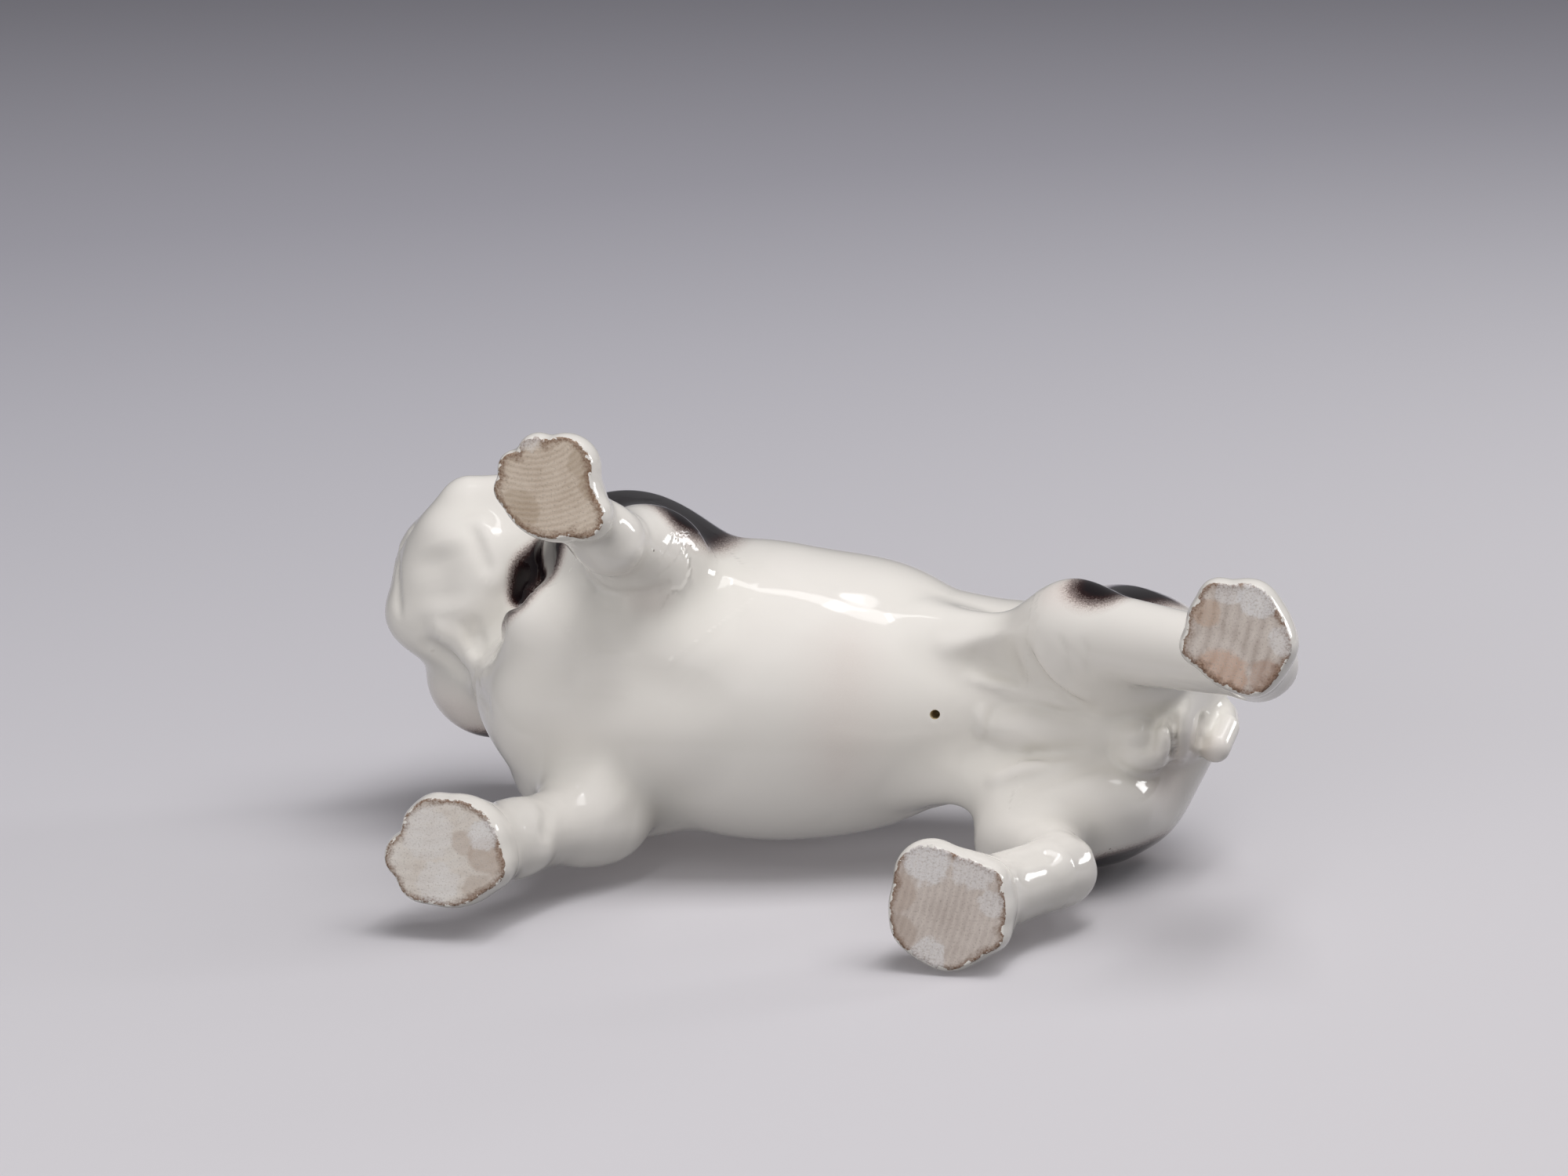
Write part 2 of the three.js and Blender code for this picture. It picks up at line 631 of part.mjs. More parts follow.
// A casting's clay, running a little past its seams, and the two cutters that end it and its neighbours
// there. The cutters are one skin moved in and out by half the gap, and reach a little past the dog.
function clayOf(name) {
  const { field, cell } = castings[name];
  const inShare = share(name);
  const box = field.box.clone().expandByScalar(PAST_SEAM);
  const clay = skin((x, y, z) => Math.max(wholeDog(x, y, z), inShare(x, y, z) - PAST_SEAM), box, cell);
  if (name === 'trunk') return { clay: solidOf(clay) };
  const cut = skin((x, y, z) => Math.max(inShare(x, y, z), wholeDog(x, y, z) - PAST_SEAM), box, CUTTER_CELL);
  cut.computeVertexNormals();
  const moved = (distance) => {
    const geometry = cut.clone();
    const { position, normal } = geometry.attributes;
    for (let i = 0; i < position.array.length; i += 1) position.array[i] += distance * normal.array[i];
    return solidOf(geometry);
  };
  return { clay: solidOf(clay), inner: moved(-SEAM_GAP / 2), outer: moved(SEAM_GAP / 2) };
}

// The hollow that the drained slip leaves in a casting, a wall's thickness from its skin and seams.
function hollowOf(name) {
  const { field } = castings[name];
  const inShare = share(name);
  const hollow = (x, y, z) => Math.max(field(x, y, z) + WALL, inShare(x, y, z) + 1.5 * WALL);
  return largest(solidOf(skin(hollow, field.box, CAVITY_CELL)));
}

function rod(diameter, from, to) {
  const along = new THREE.Vector3().subVectors(to, from);
  const geometry = new THREE.CylinderGeometry(diameter / 2, diameter / 2, along.length(), 12);
  const turning = new THREE.Quaternion().setFromUnitVectors(new THREE.Vector3(0, 1, 0), along.normalize());
  geometry.applyQuaternion(turning);
  return solidOf(geometry.translate(...new THREE.Vector3().addVectors(from, to).divideScalar(2).toArray()));
}

const clays = Object.fromEntries(Object.keys(castings).map((name) => [name, clayOf(name)]));
const bodies = {};
for (const [name, { lumps }] of Object.entries(castings)) {
  const { clay, inner } = clays[name];
  const lumpCell = name === 'head' ? FACE_CELL : LUMP_CELL;
  const small = lumps.map((field) => solidOf(skin(field, field.box, lumpCell)));
  bodies[name] = inner ? clay.intersect(inner) : clay;
  for (const one of small) bodies[name] = bodies[name].add(one);
  bodies[name] = bodies[name].subtract(ground);
}
for (const [name, { outer }] of Object.entries(clays)) {
  if (outer) bodies.trunk = bodies.trunk.subtract(outer);
  if (name.endsWith('ear')) bodies.head = bodies.head.subtract(outer);
}

const vent = rod(
  VENT_DIAMETER,
  new THREE.Vector3(VENT_X, 0, BELLY_Z - 20),
  new THREE.Vector3(VENT_X, 0, BELLY_Z + 12),
);
const airHole = rod(
  AIR_HOLE_DIAMETER,
  new THREE.Vector3(SHOULDER_X, 0, CHEEK_Z),
  new THREE.Vector3(CHEEK_X - 10, -10, CHEEK_Z + 2),
);
bodies.trunk = bodies.trunk.subtract(hollowOf('trunk')).subtract(vent).subtract(airHole);
bodies.head = bodies.head.subtract(hollowOf('head')).subtract(airHole);

// The figure, with its origin on the ground at the middle of its length and width

const figure = new THREE.Group();
for (const [name, body] of Object.entries(bodies)) {
  const glaze = new THREE.MeshStandardMaterial({ color: '#f2f0ec', roughness: 0.12, metalness: 0 });
  const mesh = new THREE.Mesh(geometryOf(largest(body)), glaze);
  mesh.name = name;
  figure.add(mesh);
}
const middle = new THREE.Box3().setFromObject(figure).getCenter(new THREE.Vector3()).setZ(0);
for (const mesh of figure.children) {
  mesh.geometry.computeBoundingBox();
  const centre = mesh.geometry.boundingBox.getCenter(new THREE.Vector3());
  mesh.geometry.translate(-centre.x, -centre.y, -centre.z);
  mesh.position.subVectors(centre, middle);
}

export default figure;
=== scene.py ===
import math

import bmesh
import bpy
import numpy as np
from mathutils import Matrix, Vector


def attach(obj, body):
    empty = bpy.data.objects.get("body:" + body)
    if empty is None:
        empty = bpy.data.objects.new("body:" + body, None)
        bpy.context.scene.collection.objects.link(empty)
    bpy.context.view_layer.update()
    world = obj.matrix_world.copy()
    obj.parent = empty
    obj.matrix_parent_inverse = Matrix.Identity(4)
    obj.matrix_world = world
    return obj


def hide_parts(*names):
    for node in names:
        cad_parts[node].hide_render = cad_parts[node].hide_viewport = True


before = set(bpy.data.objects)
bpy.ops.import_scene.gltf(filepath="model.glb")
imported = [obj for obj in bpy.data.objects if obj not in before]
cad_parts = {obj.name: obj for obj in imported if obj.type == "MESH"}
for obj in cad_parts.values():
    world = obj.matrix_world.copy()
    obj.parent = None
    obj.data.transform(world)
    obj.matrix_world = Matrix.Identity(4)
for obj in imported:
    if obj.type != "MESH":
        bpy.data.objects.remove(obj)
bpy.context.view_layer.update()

bl_info = {
    "name": "Dog Statuette",
    "version": (1, 0, 0),
    "blender": (4, 5, 0),
    "location": "View3D > Sidebar > Dog Statuette",
    "description": "A standing bulldog in glazed white earthenware, with airbrushed patches and bare soles",
    "category": "Object",
}

MM = 0.001


# The clay, in millimetres, where the dog's spine is the plane y = 0. ORIGIN takes it to the frame.

ORIGIN = (2.9653, 4.5793, 0)
FAR = 14            # beyond this, a field is only the distance to its box
STROKE_FADE = 0.3   # the share of a stroke's length over which each of its ends fades
STROKE_REACH = 2.6  # how many widths from its line a stroke ends


def clay_field(function, low, high):
    """A field with the box that its surface lies in. Well outside that box it is the distance to the box."""
    low, high = np.array(low, float), np.array(high, float)

    def field(p):
        away = np.maximum(np.maximum(low - p, p - high), 0).sum(axis=1)
        near = away <= FAR
        if near.any():
            away[near] = function(p[near])
        return away

    field.low, field.high = low, high
    return field


def turning(degrees):
    """The rotation matrix of turns about z, then y, then x."""
    x, y, z = (math.radians(a) for a in degrees)
    rx = np.array([[1, 0, 0], [0, math.cos(x), -math.sin(x)], [0, math.sin(x), math.cos(x)]])
    ry = np.array([[math.cos(y), 0, math.sin(y)], [0, 1, 0], [-math.sin(y), 0, math.cos(y)]])
    rz = np.array([[math.cos(z), -math.sin(z), 0], [math.sin(z), math.cos(z), 0], [0, 0, 1]])
    return rx @ ry @ rz


def egg(centre, radii, turn=(0, 0, 0)):
    """An ellipsoid of clay."""
    c, r, matrix = np.array(centre, float), np.array(radii, float), turning(turn)
    reach = np.sqrt(((matrix * r) ** 2).sum(axis=1))

    def function(p):
        q = ((p - c) @ matrix) / r
        near = np.sqrt((q * q).sum(axis=1))
        slope = np.sqrt(((q / r) ** 2).sum(axis=1))
        return np.where(slope < 1e-9, -r.min(), near * (near - 1) / np.maximum(slope, 1e-9))

    return clay_field(function, c - reach, c + reach)


def roll(*points):
    """A tapering roll of clay through two or more points, each x, y, z, radius."""
    q = np.array(points, float)

    def function(p):
        best = np.full(len(p), np.inf)
        for a, b in zip(q[:-1], q[1:]):
            d = b[:3] - a[:3]
            t = np.clip(((p - a[:3]) @ d) / (d @ d), 0, 1)
            away = np.sqrt((((p - a[:3]) - t[:, None] * d) ** 2).sum(axis=1))
            best = np.minimum(best, away - a[3] - t * (b[3] - a[3]))
        return best

    return clay_field(function, (q[:, :3] - q[:, 3:]).min(axis=0), (q[:, :3] + q[:, 3:]).max(axis=0))


def smooth_step(x):
    x = np.clip(x, 0, 1)
    return x * x * (3 - 2 * x)


def soft_min(a, b, k):
    """The smaller of two fields, blended over a radius where they are about equal."""
    if k <= 0:
        return np.minimum(a, b)
    h = np.maximum(k - np.abs(a - b), 0) / k
    return np.minimum(a, b) - h * h * k / 4


def press(*lumps):
    """Presses lumps together, each given as a field and the radius of its blend."""

    def function(p):
        total = lumps[0][0](p)
        for field, k in lumps[1:]:
            total = soft_min(total, field(p), k)
        return total

    low = np.min([field.low for field, _ in lumps], axis=0)
    high = np.max([field.high for field, _ in lumps], axis=0)
    return clay_field(function, low, high)


def groove(field, cut, k):
    """Takes a groove out of a field, its edges blended over a radius."""
    return clay_field(lambda p: -soft_min(-field(p), cut(p), k), field.low, field.high)


def stroke(points, width, height):
    """A modelling tool's stroke along some points, which raises the clay by its height or, where that is
    negative, sinks it."""
    q = np.array(points, float)
    lengths = np.linalg.norm(np.diff(q, axis=0), axis=1)
    starts = np.concatenate([[0], np.cumsum(lengths)])
    low, high = q.min(axis=0) - STROKE_REACH * width, q.max(axis=0) + STROKE_REACH * width

    def offset(p):
        out = np.zeros(len(p))
        near = np.all((p > low) & (p < high), axis=1)
        if not near.any():
            return out
        s = p[near]
        best, where = np.full(len(s), np.inf), np.zeros(len(s))
        for start, length, a, b in zip(starts, lengths, q[:-1], q[1:]):
            d = b - a
            t = np.clip(((s - a) @ d) / (d @ d), 0, 1)
            away = ((s - a - t[:, None] * d) ** 2).sum(axis=1)
            closer = away < best
            best = np.where(closer, away, best)
            where = np.where(closer, start + t * length, where)
        along = where / starts[-1]
        ends = smooth_step(np.minimum(along, 1 - along) / STROKE_FADE)
        out[near] = -height * ends * np.exp(-best / width ** 2)
        return out

    return offset


# Sizes that the solids have too

WITHERS_Z, BRISKET_Z, BELLY_Z, LOIN_Z, CROUP_Z = 111, 39, 57, 115, 110
RIB_WIDTH, WAIST_WIDTH, CROUP_WIDTH, SHOULDER_WIDTH, CHEST_WIDTH = 67.5, 45, 47, 77, 57
CHEST_FRONT_X, RIB_CENTRE_X, RIB_LENGTH, LOIN_CENTRE_X, LOIN_LENGTH = -79, -20, 100, 28, 88
RUMP_X, SHOULDER_X = 84, -49
NECK_RADIUS, HEAD_TURN, HEAD_PIVOT_X, HEAD_TOP_Z = 23.5, 21, -60, 126
CHEEK_WIDTH, MUZZLE_WIDTH, MUZZLE_FRONT_X, CHEEK_X, CHEEK_Z, CHIN_Z = 60, 34, -113, -86, 92, 65.5
EYE_DIAMETER, EYE_SPACING, EYE_X, EYE_Z = 7.4, 25, CHEEK_X - 12.6, 101.5
EAR_LENGTH, EAR_THICKNESS, EAR_SPACING = 20, 6.5, 49
TAIL_DIAMETER, TAIL_ROOT_Z, TAIL_TIP = 7.4, 90, (83.9, 2.5, 73.5)
PAW_HEIGHT, PAW_ROUNDING, PAW_BULGE, PAW_BULGE_Z, TOE_BLEND = 13, 7, 0.9, 4, 1.2
FOREARM_DIAMETER, WRIST_DIAMETER, ELBOW_Z, HOCK_Z, HOCK_DIAMETER, THIGH_DIAMETER = 18, 15, 46, 35, 14.5, 38
VENT_X = 24.8
HEAD_COS, HEAD_SIN = math.cos(math.radians(HEAD_TURN)), math.sin(math.radians(HEAD_TURN))
# Each paw's place, its pad's half width, half length and turn, and its toes' places from there and radii.
PAWS = {
    "left_front_leg": ((-51, -43), (10.5, 9, 20),
                       ((-8.5, 0, 3), (-8, -4.5, 3), (-3.5, -8, 3.5), (2.5, -5.5, 6.5), (8, 4, 4.5))),
    "right_front_leg": ((-66, 34.5), (11, 11.5, 40),
                        ((-9.5, 2, 4.5), (-6.5, -5, 4), (-5.5, 5.5, 5.5), (-4.5, -7, 4), (8, 2, 4.5))),
    "left_hind_leg": ((94.5, -28.5), (9.5, 11, -40),
                      ((-7.5, 2.5, 3.5), (-5, -7.5, 3), (1.5, -6, 5), (7.5, 1, 3.5), (3.5, 7, 4))),
    "right_hind_leg": ((41, 33.5), (12, 11.5, -15),
                       ((-4.5, -6, 7), (7, -6, 4), (-6.5, 4, 4.5), (0.5, 6.5, 5.5), (9, 4, 3))),
}


def trunk_clay():
    """The trunk with its neck, without the folds of its belly."""
    ribs, loin = WITHERS_Z - BRISKET_Z, LOIN_Z - BELLY_Z
    lumps = [
        (egg((RIB_CENTRE_X, 1.2, BRISKET_Z + ribs / 2), (RIB_LENGTH / 2, RIB_WIDTH / 2, ribs / 2)), 0),
        (egg((CHEST_FRONT_X + 27, 6.5, BRISKET_Z + 25), (26, CHEST_WIDTH / 2 - 1.5, 26)), 9),
        (egg((LOIN_CENTRE_X, -1.5, BELLY_Z + loin / 2), (LOIN_LENGTH / 2, WAIST_WIDTH / 2, loin / 2)), 14),
        (egg((RUMP_X - 26.5, -0.5, CROUP_Z - 24), (26, CROUP_WIDTH / 2, 24)), 11),
        # Neck and throat
        (roll((SHOULDER_X + 4, 0, WITHERS_Z - 24, NECK_RADIUS + 1),
              (HEAD_PIVOT_X - 13, -3, WITHERS_Z - 17, NECK_RADIUS - 1)), 12),
        (roll((-84, 3, 78, 6), (-72, 7, 62, 9)), 8),
    ]
    for side in (-1, 1):
        shoulder = (SHOULDER_X - 4.5, side * (SHOULDER_WIDTH / 2 - 13.8), WITHERS_Z - 30)
        lumps.append((egg(shoulder, (20.5, 14.2, 29), (0, -12, 0)), 9))
    for side in (-1, 1):
        # Flank, last ribs and brisket
        lumps.append((roll((20, side * 14.5 - 0.8, BELLY_Z + 8, 5),
                           (42, side * 17 - 1.5, BELLY_Z + 4, 5)), 8))
        lumps.append((egg((1, side * 20.5, 82), (17, 9.5, 23), (0, 14, 0)), 5))
        lumps.append((roll((-64, side * 9, BRISKET_Z + 12, 9), (-30, side * 8, BRISKET_Z + 9, 8)), 9))
    return press(*lumps)


def belly_lumps():
    """The small folds of the belly, the sheath and the scrotum."""
    return [
        (egg((34.8, 0.6, BELLY_Z + 0.7), (1.2, 2.8, 1.5), (0, 0, -12)), 2),
        (egg((45.5, 1.4, BELLY_Z + 1.9), (9.4, 5, 4.4), (0, 0, -3)), 2),
        (roll((46, 1.3, BELLY_Z + 2, 4), (61, 0.4, BELLY_Z + 3.2, 3.2)), 3),
        (egg((67.5, 0.6, BELLY_Z + 4.8), (5, 3.8, 6)), 3),
        (egg((68.8, 5, BELLY_Z + 4.3), (5.3, 3.3, 6)), 2.5),
        (egg((74, 1.4, BELLY_Z + 6), (1.7, 5, 6)), 2.5),
        (egg((77.3, -2, BELLY_Z + 14), (3, 8, 11)), 3),
    ]


def turned_head(field):
    """A field made straight ahead, seen after the head's turn to the dog's left."""
    c, s = HEAD_COS, HEAD_SIN

    def function(p):
        x, y = p[:, 0] - HEAD_PIVOT_X, p[:, 1]
        return field(np.stack([HEAD_PIVOT_X + c * x + s * y, c * y - s * x, p[:, 2]], axis=1))

    corners = np.array([(x, y) for x in (field.low[0], field.high[0]) for y in (field.low[1], field.high[1])])
    x, y = corners[:, 0] - HEAD_PIVOT_X, corners[:, 1]
    there = np.stack([HEAD_PIVOT_X + c * x - s * y, s * x + c * y], axis=1)
    return clay_field(function, (*there.min(axis=0), field.low[2]), (*there.max(axis=0), field.high[2]))


def head_clay():
    """The head with its muzzle, jowls and brows."""
    lumps = [(egg((CHEEK_X + 4, 0, HEAD_TOP_Z - 20), (18, EAR_SPACING / 2, 20)), 0)]
    for side in (-1, 1):
        lumps.append((egg((CHEEK_X + 2.5, side * (CHEEK_WIDTH / 2 - 12), CHEEK_Z), (15, 13, 16)), 7))
    lumps += [
        # Fold of the left cheek, and the muzzle's bridge
        (roll((CHEEK_X - 17.5, -18, CHEEK_Z - 8, 7), (CHEEK_X - 7, 7.5 - CHEEK_WIDTH / 2, CHEEK_Z - 5, 7.5),
              (CHEEK_X + 3, 7 - CHEEK_WIDTH / 2, CHEEK_Z - 3, 7)), 9),
        (egg((MUZZLE_FRONT_X + 11.3, -2.2, CHEEK_Z - 3), (14.3, MUZZLE_WIDTH / 2 - 3.5, 12)), 6),
    ]
    for side in (-1, 1):
        jowl = (MUZZLE_FRONT_X + 14, side * (MUZZLE_WIDTH / 2 - 8), CHIN_Z + 17)
        lumps.append((egg(jowl, (12, 8.6, 13), (side * 12, 0, 0)), 7))
    # Chin and lower jaw
    lumps.append((egg((CHEEK_X - 10, -1, CHIN_Z + 14), (14, 13, 11.5)), 6))
    lumps.append((egg((CHEEK_X - 4, -2, CHIN_Z + 14.5), (12.5, 17, 13)), 8))
    for side in (-1, 1):
        brow = (CHEEK_X - 8.5, side * (EYE_SPACING / 2 - 1), EYE_Z + 8)
        lumps.append((egg(brow, (7.5, 8.5, 5.5), (side * -12, 0, 0)), 4))
    furrow = roll((CHEEK_X - 17, 0, EYE_Z + 8.5, 2.5), (CHEEK_X - 6, 0, HEAD_TOP_Z + 2.5, 3.5),
                  (CHEEK_X + 12, 0, HEAD_TOP_Z + 5, 3.5))
    return turned_head(groove(press(*lumps), furrow, 5))


def face_lumps():
    """The nose and the wrinkle over it."""
    return [
        (turned_head(egg((MUZZLE_FRONT_X + 5.6, 0, EYE_Z - 5.5), (5.2, 7.6, 5.4), (0, -15, 0))), 1),
        (turned_head(roll(
            (MUZZLE_FRONT_X + 13, -13, EYE_Z - 7, 2.8), (MUZZLE_FRONT_X + 11, -7, EYE_Z, 3.8),
            (MUZZLE_FRONT_X + 11, 7, EYE_Z, 3.8), (MUZZLE_FRONT_X + 13, 13, EYE_Z - 7, 2.8))), 2),
    ]


def eye_lumps():
    return [(turned_head(egg((EYE_X, side * EYE_SPACING / 2, EYE_Z), (EYE_DIAMETER / 2,) * 3)), 0.3)
            for side in (-1, 1)]


def ear_clay(side):
    return turned_head(egg((CHEEK_X + 10, side * EAR_SPACING / 2, HEAD_TOP_Z - 8),
                           (EAR_LENGTH / 2, EAR_THICKNESS / 2, EAR_LENGTH / 2 - 2),
                           (side * -38, -25, side * 24)))


def tail_clay():
    return roll(
        (RUMP_X - 7, -1.5, TAIL_ROOT_Z, TAIL_DIAMETER / 2 + 1),
        (RUMP_X - 0.6, -2.7, TAIL_ROOT_Z - 5, TAIL_DIAMETER / 2 + 0.1),
        (RUMP_X + 1, -1.5, TAIL_ROOT_Z - 11, TAIL_DIAMETER / 2 - 0.5),
        (*TAIL_TIP, TAIL_DIAMETER / 2 - 0.3),
    )


def paw_clay(name):
    """A paw: the outline of its pad and toes, bulging a little above the sole and rounded at its top."""
    (cx, cy), (rx, ry, turn), toes = PAWS[name]
    c, s = math.cos(math.radians(turn)), math.sin(math.radians(turn))
    top = PAW_HEIGHT + 1 - PAW_ROUNDING

    def function(p):
        x, y, z = p[:, 0] - cx, p[:, 1] - cy, p[:, 2]
        u, v = (c * x + s * y) / rx, (c * y - s * x) / ry
        near = np.hypot(u, v)
        edge = near * (near - 1) / np.maximum(np.hypot(u / rx, v / ry), 1e-6)
        for tx, ty, radius in toes:
            edge = soft_min(edge, np.hypot(x - tx, y - ty) - radius, TOE_BLEND)
        edge = edge + PAW_ROUNDING - PAW_BULGE * np.maximum(1 - ((z - PAW_BULGE_Z) / PAW_BULGE_Z) ** 2, 0)
        up = z - top
        round_part = np.hypot(np.maximum(edge, 0), np.maximum(up, 0))
        # The bulge makes the field steep, so it is scaled down a little.
        return 0.9 * (round_part - PAW_ROUNDING + np.minimum(np.maximum(edge, up), 0))

    return clay_field(function, (cx - rx - 5, cy - ry - 5, -4), (cx + rx + 5, cy + ry + 5, PAW_HEIGHT + 1))


def front_leg(side, shoulder, elbow, wrist, ankle, slim):
    """A front leg without its paw, its wrist thinner by slim than the sizes say."""
    f, w = FOREARM_DIAMETER / 2, WRIST_DIAMETER / 2 - slim
    return press(
        (roll((*shoulder, 12), (*elbow, f)), 0),
        (roll((elbow[0] + 6, elbow[1] + side * 1.5, elbow[2] + 1, 4.2),
              (elbow[0], elbow[1], elbow[2] - 3, 7)), 6),
        (roll((*elbow, f), (*wrist, w)), 8),
        (roll((*wrist, w), (*ankle, PAW_HEIGHT / 2 + 1, w + 0.6)), 5),
        (egg((wrist[0] + w - 3, wrist[1] + 2, wrist[2] - 1), (3.6, 3, 3.4)), 2.5),
    )


def hind_leg(side, hip, knee, hock, ankle):
    """A hind leg without its paw."""
    h = HOCK_DIAMETER / 2
    return press(
        (egg((hip[0], hip[1], hip[2] - 6), (THIGH_DIAMETER / 2, 14, 27), (0, 8, 0)), 0),
        (roll((hip[0] - 2, hip[1], hip[2] - 12, 14), (*knee, 10)), 6),
        (egg((hip[0] - 1, hip[1] - side * 2.5, hip[2] - 22), (17, 10, 14.5)), 6),
        (roll((*knee, 10), (*hock, h)), 6),
        (roll((hock[0] + 3.5, hock[1], hock[2] + 1, 4.2), (hock[0], hock[1], hock[2] - 6, 6)), 2.5),
        (roll((*hock, h), (*ankle, PAW_HEIGHT / 2 + 1, h + 1)), 3),
    )


def leg_clays():
    """The legs with their paws."""
    legs = {
        "left_front_leg": front_leg(
            -1, (-51, -24, 69), (-41, -28.5, ELBOW_Z), (-43.5, -33, 23), (-51.5, -42.5), 1.1),
        "right_front_leg": front_leg(1, (-56, 24, 69), (-48, 30, ELBOW_Z), (-58, 33, 20), (-64, 34.5), 0),
        "left_hind_leg": hind_leg(-1, (62, -15, 88), (53, -21, 57), (95.5, -20.5, HOCK_Z - 1), (96, -28)),
        "right_hind_leg": hind_leg(1, (57, 17.5, 85), (47, 25.5, 57), (57.5, 28, HOCK_Z), (43.5, 32.5)),
    }
    return {name: press((leg, 0), (paw_clay(name), 5)) for name, leg in legs.items()}


def castings():
    """The castings, each a field and the radius of its blend with those before it."""
    found = {"trunk": (trunk_clay(), 0), "head": (head_clay(), 6), "left_ear": (ear_clay(-1), 2.5),
             "right_ear": (ear_clay(1), 2.5), "tail": (tail_clay(), 3)}
    for name, field in leg_clays().items():
        found[name] = (field, 14 if name == "left_front_leg" else 9)
    return found


def small_lumps():
    """What is pressed onto the castings last."""
    return {"trunk": belly_lumps(), "head": face_lumps() + eye_lumps()}


def whole_dog(strokes=()):
    """The whole figure as one field, with strokes in it, cut off flat at the ground."""
    lumps = [*castings().values(), *(one for group in small_lumps().values() for one in group)]

    def field(p):
        total = np.full(len(p), np.inf)
        for lump, k in lumps:
            total = soft_min(total, lump(p), k)
        for one in strokes:
            total = total + one(p)
        return np.maximum(total, -p[:, 2])

    return field


# Modelling the skin

ROUGH_GRID, QUICK_GRID = 1.4, 1.3  # millimetres between vertices
SEAM_SWELLING = 0.35               # millimetres, so that the castings overlap where they are luted
VENT_PLUG_RADIUS = 3               # millimetres
PRESS_DEPTH = 3 * MM
BELLY_SIDE = 75 * MM               # the trunk's lower side lies under this height
# The vent's rings, each as its width over the last one's, and millimetres deeper.
VENT_RINGS = ((0.90, 0.22), (0.95, 0.7), (1, 2), (1, 4))

clay = {}  # what model_skin() leaves for the castings: the skin, their names and the field


def placed(name, data):
    """A new object in the scene."""
    body = bpy.data.objects.new(name, data)
    bpy.context.scene.collection.objects.link(body)
    return body


def vectors(items, name):
    """A vector of each of a mesh's items, as rows."""
    flat = np.empty(len(items) * 3, np.float32)
    items.foreach_get(name, flat)
    return flat.reshape(-1, 3)


def positions(mesh):
    """A mesh's vertices in clay millimetres."""
    return vectors(mesh.vertices, "co").astype(float) / MM - ORIGIN


def set_positions(mesh, p):
    mesh.vertices.foreach_set("co", ((p + ORIGIN) * MM).astype(np.float32).ravel())
    mesh.update()


def slope_of(field, p, h=0.12):
    """The direction in which a field grows, by four samples round each point."""
    corners = np.array([[1, -1, -1], [-1, -1, 1], [-1, 1, -1], [1, 1, 1]], float)
    total = sum(corner * field(p + h * corner)[:, None] for corner in corners)
    return total / (4 * h)


def draw_onto(mesh, field, passes, reach):
    """Moves a mesh's vertices onto the field's surface, at most reach millimetres in each pass."""
    p = positions(mesh)
    for _ in range(passes):
        slope = slope_of(field, p)
        steep = np.maximum((slope * slope).sum(axis=1), 0.25)
        p = p - slope * np.clip(field(p) / steep, -reach, reach)[:, None]
    set_positions(mesh, p)


def remeshed(mesh, voxel):
    """One closed skin over everything in a mesh, on a grid of voxel millimetres."""
    body = placed("skin", mesh)
    remesh = body.modifiers.new("skin", "REMESH")
    remesh.mode = "VOXEL"
    remesh.voxel_size = voxel * MM
    remesh.adaptivity = 0
    skin = bpy.data.meshes.new_from_object(body.evaluated_get(bpy.context.evaluated_depsgraph_get()))
    bpy.data.objects.remove(body)
    bpy.data.meshes.remove(mesh)
    return skin


def delete_faces(bm, faces):
    """Deletes faces and the vertices that they leave loose."""
    bmesh.ops.delete(bm, geom=faces, context="FACES")
    bmesh.ops.delete(bm, geom=[v for v in bm.verts if not v.link_faces], context="VERTS")


def largest_shell(mesh):
    """Keeps the shell with the most faces: the outside, without the walls of the hollows."""
    bm = bmesh.new()
    bm.from_mesh(mesh)
    unseen, shells = set(bm.faces), []
    while unseen:
        shell = [unseen.pop()]
        for face in shell:
            beside = {other for edge in face.edges for other in edge.link_faces} & unseen
            unseen -= beside
            shell += beside
        shells.append(shell)
    shells.sort(key=len, reverse=True)
    delete_faces(bm, [face for shell in shells[1:] for face in shell])
    bm.to_mesh(mesh)
    bm.free()


def rough_clay():
    """The castings as copies of the solids, each swollen past its seams, with the vent stopped."""
    bm = bmesh.new()
    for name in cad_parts:
        part = bmesh.new()
        part.from_mesh(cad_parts[name].data)
        bmesh.ops.remove_doubles(part, verts=part.verts, dist=0.01 * MM)
        part.normal_update()
        for vert in part.verts:
            vert.co += vert.normal * SEAM_SWELLING * MM
        copy = bpy.data.meshes.new(name)
        part.to_mesh(copy)
        part.free()
        bm.from_mesh(copy)
        bpy.data.meshes.remove(copy)
    plug = Vector((VENT_X, 0, BELLY_Z + 1)) + Vector(ORIGIN)
    bmesh.ops.create_icosphere(bm, subdivisions=2, radius=VENT_PLUG_RADIUS * MM,
                               matrix=Matrix.Translation(plug * MM))
    mesh = bpy.data.meshes.new("rough clay")
    bm.to_mesh(mesh)
    bm.free()
    return mesh


def point_attribute(mesh, name, values, kind="FLOAT"):
    """Keeps a number or a vector at each of a mesh's vertices."""
    attribute = mesh.attributes.new(name, kind, "POINT")
    key = "vector" if kind == "FLOAT_VECTOR" else "value"
    attribute.data.foreach_set(key, np.asarray(values, np.float32).ravel())


def crease_pooling_and_shade(field, p, n):
    """How deep in a crease each point lies, from 0 to 1: the clay round it comes closer than its height. The
    glaze turns grey-green there as it pools, and the same amount paints shade into the creases.
    """
    total = np.zeros(len(p))
    for h in (1.5, 3.5, 7):
        total += np.clip(1 - field(p + n * h) / h, 0, 1) / 3
    return np.clip(total, 0, 1)


